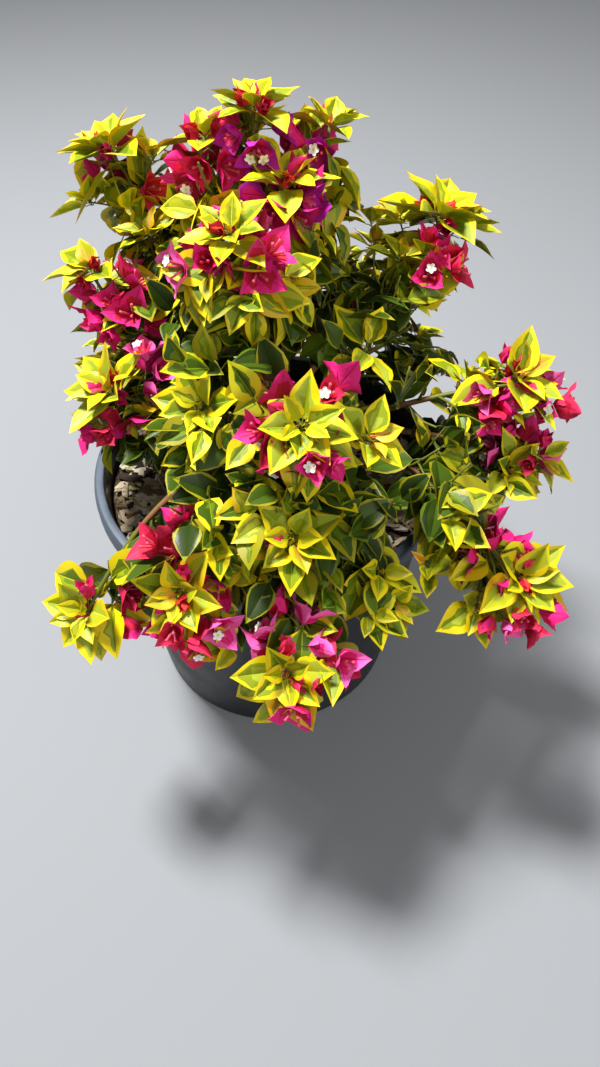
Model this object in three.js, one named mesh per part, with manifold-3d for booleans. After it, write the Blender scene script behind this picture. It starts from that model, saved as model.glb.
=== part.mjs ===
// Potted bougainvillea bush, in millimetres, with +Z up.
// The origin is the middle of the pot's flat underside. +X is to the right and +Y to the back.
import * as THREE from "three";
import { mergeVertices } from "three/addons/utils/BufferGeometryUtils.js";
import Module from "manifold-3d";

const wasm = await Module();
wasm.setup();

// Pot: a tapered nursery pot with a turned-out lip
const POT_HEIGHT = 214;
const POT_LIP_RADIUS = 127;
const POT_LIP_HEIGHT = 15;
const POT_LIP_OVERHANG = 5.5;
const POT_FOOT_RADIUS = 104.5;
const POT_WALL = 2.4;
const POT_EDGE = 2;
const POT_LIP_ROUND = 4;
const POT_SIDES = 40;
const DRAIN_HOLES = 6;
const DRAIN_RADIUS = 5.5;
const DRAIN_RING = 84;
const DRAIN_SIDES = 8;

// Potting mix inside the pot
const SOIL_HEIGHT = 187;
const SEAT_GAP = 0.3;

// Trunk: a short stem that flares at the soil and swells where it forks
const TRUNK_TOP = 222;
const TRUNK_SIDES = 9;
const TRUNK_BUTTRESS = 0.12;
const TRUNK_BUTTRESSES = 3;
const TRUNK_LEAN = new THREE.Vector3(3, -2, 0);
const TRUNK_PROFILE = [
  { rise: 0, radius: 16 },
  { rise: 0.12, radius: 13 },
  { rise: 0.32, radius: 10.8 },
  { rise: 0.62, radius: 10.2 },
  { rise: 0.86, radius: 11.6 },
  { rise: 1, radius: 12.4 },
];
const FORK_RING = 8.4;
const FORK_SLOTS = 6;

// Limbs: radius at the foot and where the foliage begins, and the stem and twigs beyond
const MAIN_LIMB_RADIUS = 3.9;
const SIDE_LIMB_RADIUS = 3.0;
const LIMB_END_RADIUS = 2.1;
const STEM_RADIUS = 2.0;
const STEM_TIP_RADIUS = 1.1;
const SIDE_TWIG_RADII = [1.25, 1.05, 0.8];
const LIMB_SIDES = 6;
const TWIG_SIDES = 3;
const LIMB_STEPS = 4;
const STEM_STEPS = 4;
const FOLIAGE_START = 0.4;
const ARCH = 0.28;
const BEND_PLACE = 0.45;

// Leaves and bracts. Each stands for a few of the real ones, so it is somewhat larger than life.
const LEAF = { length: 38, width: 23 };
const BRACT = { length: 33, width: 24 };
const BLADE = { root: 1, rootTop: 0.3, keel: 0.9, widestAt: 0.45, rim: 0.8, tipDroop: 0.06 };
const LEAF_SAG = 0.1;
const FACES_STEM = 0.35;
const SIZE_RANGE = { smallest: 0.85, spread: 0.3 };
const FITTING_SIZES = [1, 0.82, 0.66];

// Where leaves, bracts and twigs stand along a stem, as shares of its length, and how far they
// lean from it, in radians
const GOLDEN_ANGLE = Math.PI * (3 - Math.sqrt(5));
const ROSETTE = { count: 5, from: 0.99, to: 0.89, lean: 0.8, opening: 0.5, length: 0.9, width: 0.85 };
const BRACTS = { count: 4, from: 0.87, to: 0.74, lean: 1.3, opening: 0.5, turn: 0.6 };
const STEM_LEAVES = { count: 6, from: 0.1, to: 0.86, lean: 1.15 };
const SIDE_TWIGS = { count: 4, from: 0.06, to: 0.72, turn: 1, length: 34 };
const TWIG_LEAVES = [{ share: 0.9, lean: 0.6 }, { share: 0.5, lean: 1.1 }];
const TWIG_BEND = { out: 0.85, along: 0.5, elbow: 0.5, beyond: 0.35, rise: 0.3, clearOfStem: 0.2 };
const HEAD_FOLLOWS_STEM = 0.6;

// Room: how far a mass reaches from its stem, and what it keeps clear of
const REACH = 46;
const SPACE_MARGIN = 0.7;
const LIMB_CLEARANCE = 0.8;
const ROOT_CROWD = 4;

// Shoots. Each is one curve that rises from the trunk's fork or from an earlier shoot and ends
// in a flower head, or in a tuft of leaves where flowers is false. The tip is in millimetres.
const SHOOTS = [
  { name: "top", tip: [-4, 62, 424], slot: "middle", foliage: 0.62 },
  { name: "top_left", tip: [-36, 50, 407], from: "top", at: 0.49 },
  { name: "top_right", tip: [40, 64, 407], from: "top", at: 0.57 },
  { name: "crown_middle", tip: [14, 32, 399], from: "top", at: 0.39 },
  { name: "crown_front", tip: [-16, -8, 390], from: "top", at: 0.3 },
  { name: "left_back", tip: [-92, 110, 374], slot: 2, foliage: 0.48 },
  { name: "left_high", tip: [-105, 36, 330], from: "left_back", at: 0.24 },
  { name: "left_low", tip: [-98, -14, 288], slot: 3 },
  { name: "right_back", tip: [112, 68, 345], slot: 0 },
  { name: "left_back_low", tip: [-106, 82, 248], from: "left_back", at: 0.13, flowers: false },
  { name: "right_back_low", tip: [116, 98, 250], from: "right_back", at: 0.16, flowers: false },
  { name: "right_tuft", tip: [64, -2, 312], from: "right_back", at: 0.28, flowers: false },
  { name: "front_high", tip: [20, -98, 334], from: "top", at: 0.14 },
  { name: "front_tuft", tip: [-36, -56, 312], from: "front_high", at: 0.3, flowers: false },
  { name: "right", tip: [155, -25, 300], slot: 5, foliage: 0.5 },
  { name: "right_edge", tip: [178, -44, 256], from: "right", at: 0.32, arch: 0.05 },
  { name: "right_front", tip: [156, -132, 226], from: "right", at: 0.24 },
  { name: "front", tip: [20, -181, 214], slot: 4 },
  { name: "front_middle", tip: [15, -124, 274], from: "front", at: 0.32 },
  { name: "front_left", tip: [-48, -143, 250], from: "left_low", at: 0.16 },
  { name: "front_left_low", tip: [-112, -129, 212], from: "front_left", at: 0.34 },
  { name: "front_right_tuft", tip: [66, -122, 240], from: "front", at: 0.22, flowers: false },
  { name: "back", tip: [4, 134, 338], slot: 1 },
  { name: "back_right", tip: [84, 142, 262], from: "back", at: 0.24 },
  { name: "back_left", tip: [-62, 156, 252], from: "back", at: 0.3 },
];

const MATERIALS = {
  pot: new THREE.MeshStandardMaterial({ color: 0x23262a, roughness: 0.45, metalness: 0 }),
  soil: new THREE.MeshStandardMaterial({ color: 0x4a3b2c, roughness: 0.95, metalness: 0 }),
  bark: new THREE.MeshStandardMaterial({ color: 0x8a7355, roughness: 0.85, metalness: 0 }),
  foliage: new THREE.MeshStandardMaterial({ color: 0xa9b52a, roughness: 0.55, metalness: 0 }),
};

const UP = new THREE.Vector3(0, 0, 1);

// A repeatable stream of numbers between 0 and 1 for each shoot
function randomStream(seed) {
  let state = seed >>> 0;
  return () => {
    state = (state + 0x6d2b79f5) >>> 0;
    let mixed = Math.imul(state ^ (state >>> 15), state | 1);
    mixed = (mixed + Math.imul(mixed ^ (mixed >>> 7), mixed | 61)) ^ mixed;
    return ((mixed ^ (mixed >>> 14)) >>> 0) / 4294967296;
  };
}

// Change between a three.js geometry and a manifold solid
function solidFromGeometry(geometry) {
  const bare = new THREE.BufferGeometry();
  bare.setAttribute("position", geometry.getAttribute("position").clone());
  if (geometry.index) bare.setIndex(geometry.index.clone());
  const merged = mergeVertices(bare, 1e-4);
  return new wasm.Manifold(new wasm.Mesh({
    numProp: 3,
    vertProperties: Float32Array.from(merged.getAttribute("position").array),
    triVerts: Uint32Array.from(merged.index.array),
  }));
}

function geometryFromSolid(solid) {
  const mesh = solid.getMesh();
  const geometry = new THREE.BufferGeometry();
  geometry.setAttribute("position", new THREE.BufferAttribute(Float32Array.from(mesh.vertProperties), 3));
  geometry.setIndex(new THREE.BufferAttribute(Uint32Array.from(mesh.triVerts), 1));
  geometry.computeVertexNormals();
  return geometry;
}

// The largest body of a fused solid: hollows sealed by fusing are filled and loose scraps dropped
function largestBody(solid) {
  return solid.decompose().reduce((best, body) => (body.volume() > best.volume() ? body : best));
}

function solidFromFaces(corners, faces) {
  const geometry = new THREE.BufferGeometry();
  const numbers = corners.flatMap((corner) => corner.toArray());
  geometry.setAttribute("position", new THREE.Float32BufferAttribute(numbers, 3));
  geometry.setIndex(faces.flat());
  return solidFromGeometry(geometry);
}

// A direction square to an axis, turned by an angle about it
function sideways(axis, angle) {
  const start = Math.abs(axis.z) < 0.95 ? UP : new THREE.Vector3(1, 0, 0);
  const side = new THREE.Vector3().crossVectors(start, axis).normalize();
  return side.applyAxisAngle(axis, angle);
}

// A closed tube of flat sides through a list of points, with a radius at each point
function sweptLimb(points, radii, sides, flatFoot) {
  const corners = [];
  const faces = [];
  let side = sideways(points[1].clone().sub(points[0]).normalize(), 0);
  points.forEach((point, ring) => {
    const before = points[Math.max(ring - 1, 0)];
    const after = points[Math.min(ring + 1, points.length - 1)];
    const axis = ring === 0 && flatFoot ? UP.clone() : after.clone().sub(before).normalize();
    side = side.clone().addScaledVector(axis, -side.dot(axis)).normalize();
    for (let corner = 0; corner < sides; corner += 1) {
      const arm = side.clone().applyAxisAngle(axis, (corner / sides) * 2 * Math.PI);
      corners.push(point.clone().addScaledVector(arm, radii[ring]));
    }
  });
  const rings = points.length;
  for (let ring = 0; ring < rings - 1; ring += 1) {
    for (let corner = 0; corner < sides; corner += 1) {
      const next = (corner + 1) % sides;
      const low = ring * sides;
      const high = low + sides;
      faces.push([low + corner, low + next, high + next]);
      faces.push([low + corner, high + next, high + corner]);
    }
  }
  const last = (rings - 1) * sides;
  for (let corner = 1; corner < sides - 1; corner += 1) {
    faces.push([0, corner + 1, corner]);
    faces.push([last, last + corner, last + corner + 1]);
  }
  return solidFromFaces(corners, faces);
}

// A blade of eight faces: a sunk root, a widest place and a tip, with a keel below the middle
const BLADE_FACES = [
  [0, 1, 2], [0, 4, 1], [0, 3, 4], [3, 5, 4],
  [0, 2, 3], [1, 4, 2], [2, 5, 3], [2, 4, 5],
];
function blade(root, along, facing, length, width) {
  const across = new THREE.Vector3().crossVectors(along, facing).normalize();
  const normal = new THREE.Vector3().crossVectors(across, along).normalize();
  const place = (forward, sidewards, upwards) => root.clone()
    .addScaledVector(along, forward * length)
    .addScaledVector(across, sidewards)
    .addScaledVector(normal, upwards);
  const corners = [
    place(0, BLADE.root / 2, BLADE.rootTop),
    place(0, -BLADE.root / 2, BLADE.rootTop),
    place(0, 0, -BLADE.keel),
    place(BLADE.widestAt, width / 2, BLADE.rim),
    place(BLADE.widestAt, -width / 2, BLADE.rim),
    place(1, 0, -BLADE.tipDroop * length),
  ];
  return { corners, solid: solidFromFaces(corners, BLADE_FACES) };
}

// The curve of a shoot, from its foot to its tip, arched where it leans far out
function shootCurve(foot, tip, arch) {
  const span = Math.hypot(tip.x - foot.x, tip.y - foot.y);
  const rise = tip.z - foot.z;
  const bend = new THREE.Vector3(
    foot.x + (tip.x - foot.x) * BEND_PLACE,
    foot.y + (tip.y - foot.y) * BEND_PLACE,
    foot.z + rise / 2 + arch * Math.max(span - rise, 0),
  );
  return new THREE.QuadraticBezierCurve3(foot, bend, tip);
}

// How far the curve moves for a small change of its parameter
function speedAt(curve, place) {
  const small = 0.001;
  return curve.getPoint(place).distanceTo(curve.getPoint(place + small)) / small;
}

function taper(start, end, steps) {
  return Array.from({ length: steps + 1 }, (_, step) => start + ((end - start) * step) / steps);
}

function pointsBetween(curve, start, end, steps) {
  return taper(start, end, steps).map((place) => curve.getPoint(place));
}

function planShoots() {
  const plans = [];
  SHOOTS.forEach((shoot, index) => {
    const tip = new THREE.Vector3(...shoot.tip);
    const parent = plans.find((plan) => plan.name === shoot.from);
    let foot = new THREE.Vector3(0, 0, TRUNK_TOP + SEAT_GAP);
    if (parent) {
      foot = parent.curve.getPoint(shoot.at);
    } else if (shoot.slot !== "middle") {
      const bearing = ((shoot.slot + 0.5) / FORK_SLOTS) * 2 * Math.PI;
      foot.add(new THREE.Vector3(Math.cos(bearing), Math.sin(bearing), 0).multiplyScalar(FORK_RING));
    }
    const curve = shootCurve(foot, tip, shoot.arch ?? ARCH);
    const foliageFrom = shoot.foliage ?? FOLIAGE_START;
    const stemStart = foliageFrom + SEAT_GAP / speedAt(curve, foliageFrom);
    plans.push({
      name: shoot.name,
      parent,
      curve,
      foliageFrom,
      flowers: shoot.flowers !== false,
      base: parent ? SIDE_LIMB_RADIUS : MAIN_LIMB_RADIUS,
      stem: pointsBetween(curve, stemStart, 1, STEM_STEPS),
      random: randomStream(index + 1),
    });
  });
  return plans;
}

// Pot, potting mix and trunk
function wallRadius(height) {
  const topRadius = POT_LIP_RADIUS - POT_LIP_OVERHANG;
  return POT_FOOT_RADIUS + ((topRadius - POT_FOOT_RADIUS) * height) / POT_HEIGHT;
}

function potSolid() {
  const lipFoot = POT_HEIGHT - POT_LIP_HEIGHT;
  const profile = [
    [0, 0],
    [POT_FOOT_RADIUS - POT_EDGE, 0],
    [wallRadius(POT_EDGE), POT_EDGE],
    [wallRadius(lipFoot), lipFoot],
    [POT_LIP_RADIUS - POT_LIP_ROUND / 4, lipFoot + POT_LIP_ROUND / 4],
    [POT_LIP_RADIUS, lipFoot + POT_LIP_ROUND],
    [POT_LIP_RADIUS, POT_HEIGHT - POT_EDGE],
    [POT_LIP_RADIUS - POT_EDGE, POT_HEIGHT],
    [POT_LIP_RADIUS - POT_LIP_OVERHANG, POT_HEIGHT],
    [wallRadius(lipFoot) - POT_WALL, lipFoot],
    [wallRadius(POT_WALL) - POT_WALL, POT_WALL],
    [0, POT_WALL],
  ].map(([radius, height]) => new THREE.Vector2(radius, height));
  const turned = new THREE.LatheGeometry(profile, POT_SIDES).rotateX(Math.PI / 2);
  let solid = solidFromGeometry(turned);
  for (let hole = 0; hole < DRAIN_HOLES; hole += 1) {
    const bearing = (hole / DRAIN_HOLES) * 2 * Math.PI;
    const drill = new THREE.CylinderGeometry(DRAIN_RADIUS, DRAIN_RADIUS, 4 * POT_WALL, DRAIN_SIDES)
      .rotateX(Math.PI / 2)
      .translate(DRAIN_RING * Math.cos(bearing), DRAIN_RING * Math.sin(bearing), POT_WALL / 2);
    solid = solid.subtract(solidFromGeometry(drill));
  }
  return solid;
}

function soilSolid() {
  const foot = POT_WALL + SEAT_GAP;
  const profile = [
    [0, foot],
    [wallRadius(foot) - POT_WALL - SEAT_GAP, foot],
    [wallRadius(SOIL_HEIGHT) - POT_WALL - SEAT_GAP, SOIL_HEIGHT],
    [0, SOIL_HEIGHT],
  ].map(([radius, height]) => new THREE.Vector2(radius, height));
  return solidFromGeometry(new THREE.LatheGeometry(profile, POT_SIDES).rotateX(Math.PI / 2));
}

function trunkSolid() {
  const foot = SOIL_HEIGHT + SEAT_GAP;
  const corners = [];
  const faces = [];
  TRUNK_PROFILE.forEach(({ rise, radius }, ring) => {
    const centre = TRUNK_LEAN.clone().multiplyScalar(1 - rise);
    for (let corner = 0; corner < TRUNK_SIDES; corner += 1) {
      const bearing = (corner / TRUNK_SIDES) * 2 * Math.PI;
      const buttress = 1 + TRUNK_BUTTRESS * (1 - rise) * Math.cos(TRUNK_BUTTRESSES * bearing);
      corners.push(new THREE.Vector3(
        centre.x + radius * buttress * Math.cos(bearing),
        centre.y + radius * buttress * Math.sin(bearing),
        foot + (TRUNK_TOP - foot) * rise,
      ));
      if (ring > 0) {
        const low = (ring - 1) * TRUNK_SIDES;
        const next = (corner + 1) % TRUNK_SIDES;
        faces.push([low + corner, low + next, low + TRUNK_SIDES + next]);
        faces.push([low + corner, low + TRUNK_SIDES + next, low + TRUNK_SIDES + corner]);
      }
    }
  });
  const last = (TRUNK_PROFILE.length - 1) * TRUNK_SIDES;
  for (let corner = 1; corner < TRUNK_SIDES - 1; corner += 1) {
    faces.push([0, corner + 1, corner]);
    faces.push([last, last + corner, last + corner + 1]);
  }
  return solidFromFaces(corners, faces);
}

// Limbs: each stops where its foliage begins, and a side limb is cut clear of the limb it leaves
function limbSolid(plan, extra) {
  const points = pointsBetween(plan.curve, 0, plan.foliageFrom, LIMB_STEPS);
  const radii = taper(plan.base + extra, LIMB_END_RADIUS + extra, LIMB_STEPS);
  return sweptLimb(points, radii, LIMB_SIDES, !plan.parent);
}

function stemSolid(plan) {
  const radii = taper(STEM_RADIUS, STEM_TIP_RADIUS, STEM_STEPS);
  return sweptLimb(plan.stem, radii, TWIG_SIDES, false);
}

// Foliage: the space of a mass is everything nearer to its own stem than to any other stem
function distanceToStem(point, stem) {
  const nearest = new THREE.Vector3();
  let best = Infinity;
  for (let step = 0; step < stem.length - 1; step += 1) {
    new THREE.Line3(stem[step], stem[step + 1]).closestPointToPoint(point, true, nearest);
    best = Math.min(best, nearest.distanceTo(point));
  }
  return best;
}

function keepsToSpace(corners, plan, plans) {
  const after = (index) => corners[(index + 1) % corners.length];
  const middles = corners.map((corner, index) => corner.clone().lerp(after(index), 0.5));
  return [...corners, ...middles].every((point) => {
    const own = distanceToStem(point, plan.stem);
    if (own > REACH) return false;
    return plans.every((other) => other === plan || distanceToStem(point, other.stem) > own + SPACE_MARGIN);
  });
}

// A leaf leaves its twig sideways, sinks a little under its weight and turns its face to the sky
function leafPose(axis, angle, lean) {
  const along = sideways(axis, angle).multiplyScalar(Math.sin(lean));
  along.addScaledVector(axis, Math.cos(lean)).addScaledVector(UP, -LEAF_SAG).normalize();
  const facing = UP.clone().addScaledVector(axis, FACES_STEM);
  return { along, facing: facing.addScaledVector(along, -facing.dot(along)).normalize() };
}

// A side twig leaves the stem and turns up towards the light
function sideTwig(root, axis, angle, reach) {
  const out = sideways(axis, angle).multiplyScalar(TWIG_BEND.out).addScaledVector(axis, TWIG_BEND.along);
  out.normalize();
  const elbow = root.clone().addScaledVector(out, reach * TWIG_BEND.elbow);
  const end = elbow.clone().addScaledVector(out, reach * TWIG_BEND.beyond);
  end.addScaledVector(UP, reach * TWIG_BEND.rise);
  const solid = sweptLimb([root, elbow, end], SIDE_TWIG_RADII, TWIG_SIDES, false);
  const corners = [root.clone().lerp(elbow, TWIG_BEND.clearOfStem), elbow, end];
  return { corners, solid, elbow, end, axis: end.clone().sub(elbow).normalize() };
}

function growMass(plan, plans, keepOut) {
  const stem = new THREE.CatmullRomCurve3(plan.stem);
  const firstAngle = plan.random() * 2 * Math.PI;
  const anySize = () => SIZE_RANGE.smallest + SIZE_RANGE.spread * plan.random();
  const pieces = [];
  const taken = [];
  const fits = ({ corners, solid }) => (
    keepsToSpace(corners, plan, plans) && solid.intersect(keepOut).isEmpty()
  );

  // A leaf is tried smaller where its space is tight, and left out where it would still not fit
  const leafThatFits = (point, axis, angle, lean, length, width) => {
    const { along, facing } = leafPose(axis, angle, lean);
    const beyondRoot = point.clone().addScaledVector(along, ROOT_CROWD);
    for (const size of FITTING_SIZES) {
      const leaf = blade(point, along, facing, length * size, width * size);
      const free = blade(beyondRoot, along, facing, length * size - ROOT_CROWD, width * size).solid;
      if (fits(leaf) && taken.every((other) => other.intersect(free).isEmpty())) {
        taken.push(free);
        return [leaf];
      }
    }
    return [];
  };

  // The head: a rosette of leaves at the tip, with the bracts crowded under it
  const headAxis = stem.getTangent(1).multiplyScalar(HEAD_FOLLOWS_STEM).addScaledVector(UP, 1).normalize();
  for (let index = 0; index < ROSETTE.count; index += 1) {
    const share = index / ROSETTE.count;
    const point = stem.getPoint(ROSETTE.from + (ROSETTE.to - ROSETTE.from) * share);
    pieces.push(...leafThatFits(point, headAxis, firstAngle + share * 2 * Math.PI,
      ROSETTE.lean + ROSETTE.opening * share, LEAF.length * ROSETTE.length, LEAF.width * ROSETTE.width));
  }
  for (let index = 0; plan.flowers && index < BRACTS.count; index += 1) {
    const share = index / BRACTS.count;
    const point = stem.getPoint(BRACTS.from + (BRACTS.to - BRACTS.from) * share);
    pieces.push(...leafThatFits(point, headAxis, firstAngle + BRACTS.turn + index * GOLDEN_ANGLE,
      BRACTS.lean + BRACTS.opening * share, BRACT.length, BRACT.width));
  }

  // The stem below it: leaves one by one in a spiral, and side twigs with leaves of their own
  for (let index = 0; index < STEM_LEAVES.count; index += 1) {
    const place = STEM_LEAVES.from + ((STEM_LEAVES.to - STEM_LEAVES.from) * index) / STEM_LEAVES.count;
    const size = anySize();
    pieces.push(...leafThatFits(stem.getPoint(place), stem.getTangent(place),
      firstAngle + index * GOLDEN_ANGLE, STEM_LEAVES.lean, LEAF.length * size, LEAF.width * size));
  }
  for (let index = 0; index < SIDE_TWIGS.count; index += 1) {
    const place = SIDE_TWIGS.from + ((SIDE_TWIGS.to - SIDE_TWIGS.from) * index) / SIDE_TWIGS.count;
    const angle = firstAngle + SIDE_TWIGS.turn + index * GOLDEN_ANGLE;
    const reach = SIDE_TWIGS.length * anySize();
    const twig = sideTwig(stem.getPoint(place), stem.getTangent(place), angle, reach);
    if (!fits(twig)) continue;
    const leaves = TWIG_LEAVES.flatMap(({ share, lean }, leaf) => {
      const size = anySize();
      return leafThatFits(twig.elbow.clone().lerp(twig.end, share), twig.axis, angle + leaf * GOLDEN_ANGLE,
        lean, LEAF.length * size, LEAF.width * size);
    });
    if (leaves.length > 0) pieces.push(twig, ...leaves);
  }
  return largestBody(wasm.Manifold.union([stemSolid(plan), ...pieces.map((piece) => piece.solid)]));
}

function namedMesh(name, solid, material) {
  const mesh = new THREE.Mesh(geometryFromSolid(solid), material);
  mesh.name = name;
  return mesh;
}

const bush = new THREE.Group();
const plans = planShoots();
const pot = potSolid();
const soil = soilSolid();
const trunk = trunkSolid();
bush.add(namedMesh("pot", pot, MATERIALS.pot));
bush.add(namedMesh("soil", soil, MATERIALS.soil));
bush.add(namedMesh("trunk", trunk, MATERIALS.bark));

plans.forEach((plan) => {
  let limb = limbSolid(plan, 0);
  if (plan.parent) limb = largestBody(limb.subtract(limbSolid(plan.parent, SEAT_GAP)));
  bush.add(namedMesh(`bough_${plan.name}`, limb, MATERIALS.bark));
});

const allLimbs = wasm.Manifold.union(plans.map((plan) => limbSolid(plan, LIMB_CLEARANCE)));
const fixedParts = wasm.Manifold.union([pot, soil, trunk, allLimbs]);
plans.forEach((plan) => {
  const mass = growMass(plan, plans, fixedParts);
  bush.add(namedMesh(`foliage_${plan.name}`, mass, MATERIALS.foliage));
});

export default bush;
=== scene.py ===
# %% [markdown]
# # A potted bougainvillea bush
# The real thing is a young variegated bougainvillea in a black nursery pot. Woody boughs fork from a short
# trunk, green twigs grow on from them, and each twig ends in a rosette of yellow-edged leaves over papery
# pink bracts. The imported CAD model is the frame: it holds every size, and this script dresses it.

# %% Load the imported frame
import math

import bpy
import numpy as np
from mathutils import Matrix, Vector


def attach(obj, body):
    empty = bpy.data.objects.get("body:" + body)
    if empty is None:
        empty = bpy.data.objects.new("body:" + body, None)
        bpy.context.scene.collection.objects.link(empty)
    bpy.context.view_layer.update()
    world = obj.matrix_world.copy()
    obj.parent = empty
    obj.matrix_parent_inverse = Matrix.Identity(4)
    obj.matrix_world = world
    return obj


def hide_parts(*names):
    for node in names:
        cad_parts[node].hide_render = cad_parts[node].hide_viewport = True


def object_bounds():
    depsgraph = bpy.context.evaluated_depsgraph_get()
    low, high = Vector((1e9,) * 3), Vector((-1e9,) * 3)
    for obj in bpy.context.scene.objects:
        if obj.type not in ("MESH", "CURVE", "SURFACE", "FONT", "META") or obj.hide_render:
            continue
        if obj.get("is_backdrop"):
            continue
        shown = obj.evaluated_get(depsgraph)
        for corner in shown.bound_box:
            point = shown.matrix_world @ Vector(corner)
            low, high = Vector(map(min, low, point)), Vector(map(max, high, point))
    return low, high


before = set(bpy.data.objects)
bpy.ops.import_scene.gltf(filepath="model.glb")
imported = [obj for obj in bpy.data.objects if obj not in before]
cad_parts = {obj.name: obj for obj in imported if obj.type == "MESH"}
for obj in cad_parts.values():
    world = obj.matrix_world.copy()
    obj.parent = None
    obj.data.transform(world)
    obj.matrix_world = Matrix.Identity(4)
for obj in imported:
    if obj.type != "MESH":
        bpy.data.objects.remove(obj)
cad_low, cad_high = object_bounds()
MM = 0.001
print("CAD box in mm:", [round(side / MM) for side in cad_high - cad_low])

# %% [markdown]
# ## Helpers for finishes
# A colour is easiest to name as the hex value that a screen shows, but light adds up in linear numbers, so
# one function turns the first into the second. Another adds a node with its settings and its links.
# Most surfaces here have one fine grain that raises them and varies their gloss, so one function makes
# such a finish, and the materials below read as recipes.


# %% Colour and node helpers
def linear(hex_colour):
    shares = [int(hex_colour[place:place + 2], 16) / 255 for place in (1, 3, 5)]
    return [s / 12.92 if s <= 0.04045 else ((s + 0.055) / 1.055) ** 2.4 for s in shares] + [1.0]


def add_node(tree, kind, settings=None, values=None, links=None):
    made = tree.nodes.new("ShaderNode" + kind)
    for name, value in (settings or {}).items():
        setattr(made, name, value)
    for name, value in (values or {}).items():
        made.inputs[name].default_value = value
    for name, output in (links or {}).items():
        tree.links.new(output, made.inputs[name])
    return made


def new_finish(name, colour, sockets):
    made = bpy.data.materials.new(name)
    made.use_nodes = True
    shader = made.node_tree.nodes["Principled BSDF"]
    shader.inputs["Base Color"].default_value = linear(colour)
    for socket, value in sockets.items():
        shader.inputs[socket].default_value = value
    return made, made.node_tree, shader


def grained_finish(name, colour, sockets, noise, relief, matt=None, shades=None, stretch=None):
    """Relief is a bump's strength and height in mm, matt a roughness range, and shades a colour ramp."""
    made, tree, shader = new_finish(name, colour, sockets)
    where = add_node(tree, "TexCoord").outputs["Object"]
    if stretch:
        where = add_node(tree, "Mapping", None, {"Scale": stretch}, {"Vector": where}).outputs[0]
    grain = add_node(tree, "TexNoise", None, noise, {"Vector": where}).outputs[0]
    raised = {"Strength": relief[0], "Distance": relief[1] * MM}
    bump = add_node(tree, "Bump", None, raised, {"Height": grain})
    tree.links.new(bump.outputs[0], shader.inputs["Normal"])
    if matt:
        gloss = add_node(tree, "MapRange", None, {"To Min": matt[0], "To Max": matt[1]}, {"Value": grain})
        tree.links.new(gloss.outputs[0], shader.inputs["Roughness"])
    if shades:
        ramp = add_node(tree, "ValToRGB", None, None, {"Fac": grain})
        for element, (share, shade) in zip(ramp.color_ramp.elements, shades):
            element.position = share
            element.color = linear(shade)
        tree.links.new(ramp.outputs[0], shader.inputs["Base Color"])
    return made


# %% [markdown]
# ## Camera, light and floor
# The camera stands where the photograph was taken from, 0.59 m above the ground, and looks 50 degrees down.
# A small strong lamp stands where the high sun was, so that the folded leaves show a bright half and a
# shaded half, and a wide lamp and a pale sky fill its shadows. The floor is only a stage and isn't part of
# the plant. An object made from data has to be linked to the scene before it shows, so one function does
# both.


# %% Put a thing in the scene
def put_in_scene(name, data):
    made = bpy.data.objects.new(name, data)
    bpy.context.scene.collection.objects.link(made)
    return made


# %% Camera
PHOTO_HEIGHT = 1067
FOCAL_PIXELS = 720
CAMERA_PLACE = (0.010, -0.379, 0.5854)
PITCH, YAW, ROLL = (math.radians(angle) for angle in (50.35, -1.97, -0.59))
UP = np.array([0.0, 0.0, 1.0])

level_ahead = np.array([-math.sin(YAW), math.cos(YAW), 0.0])
level_right = np.array([math.cos(YAW), math.sin(YAW), 0.0])
ahead = level_ahead * math.cos(PITCH) - UP * math.sin(PITCH)
above = level_ahead * math.sin(PITCH) + UP * math.cos(PITCH)
right_in_view = level_right * math.cos(ROLL) - above * math.sin(ROLL)
up_in_view = level_right * math.sin(ROLL) + above * math.cos(ROLL)

camera = put_in_scene("camera", bpy.data.cameras.new("camera"))
camera.data.sensor_width = 36
camera.data.lens = FOCAL_PIXELS * camera.data.sensor_width / PHOTO_HEIGHT
camera.data.clip_start = 0.01
facing_photo = Matrix(np.stack([right_in_view, up_in_view, -ahead], axis=1).tolist()).to_4x4()
camera.matrix_world = Matrix.Translation(CAMERA_PLACE) @ facing_photo
bpy.context.scene.camera = camera
print("Lens in mm:", round(camera.data.lens, 2))


# %% Lamps, sky and floor
def add_lamp(name, place, size, power, aim):
    lamp = put_in_scene(name, bpy.data.lights.new(name, "AREA"))
    lamp.data.size = size
    lamp.data.energy = power
    lamp.location = place
    lamp.rotation_euler = (Vector(aim) - Vector(place)).to_track_quat("-Z", "Y").to_euler()


add_lamp("key_lamp", (-0.6, 0.45, 2.1), 0.4, 88, (0, 0, 0.25))
add_lamp("fill_lamp", (1.0, -1.4, 1.3), 1.6, 16, (0, 0, 0.25))
sky = bpy.data.worlds.new("sky")
sky.use_nodes = True
sky.node_tree.nodes["Background"].inputs["Color"].default_value = linear("#F2F4F7")
sky.node_tree.nodes["Background"].inputs["Strength"].default_value = 0.28
bpy.context.scene.world = sky
bpy.context.scene.view_settings.view_transform = "Standard"

FLOOR_SIZE = 8
bpy.ops.object.select_all(action="DESELECT")
bpy.ops.mesh.primitive_plane_add(size=FLOOR_SIZE)
floor = bpy.context.object
floor.name = "floor"
floor.data.materials.append(new_finish("backdrop_paper", "#939598", {"Roughness": 0.9})[0])
floor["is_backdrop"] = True

# %% [markdown]
# ## Helpers for modelling
# By hand, a round piece is drawn up ring by ring: the last ring is extruded, moved and resized, and at last
# both ends are filled. The helper does the same, and it prints nothing, because each piece reports itself
# when it is finished. A finished piece rides on the plant's one body and stands for the CAD nodes that it
# hides.


# %% Draw up a round solid
def only(*pieces):
    """Select these pieces and nothing else. The last one becomes active."""
    bpy.ops.object.select_all(action="DESELECT")
    for piece in pieces:
        piece.select_set(True)
        bpy.context.view_layer.objects.active = piece


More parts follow.
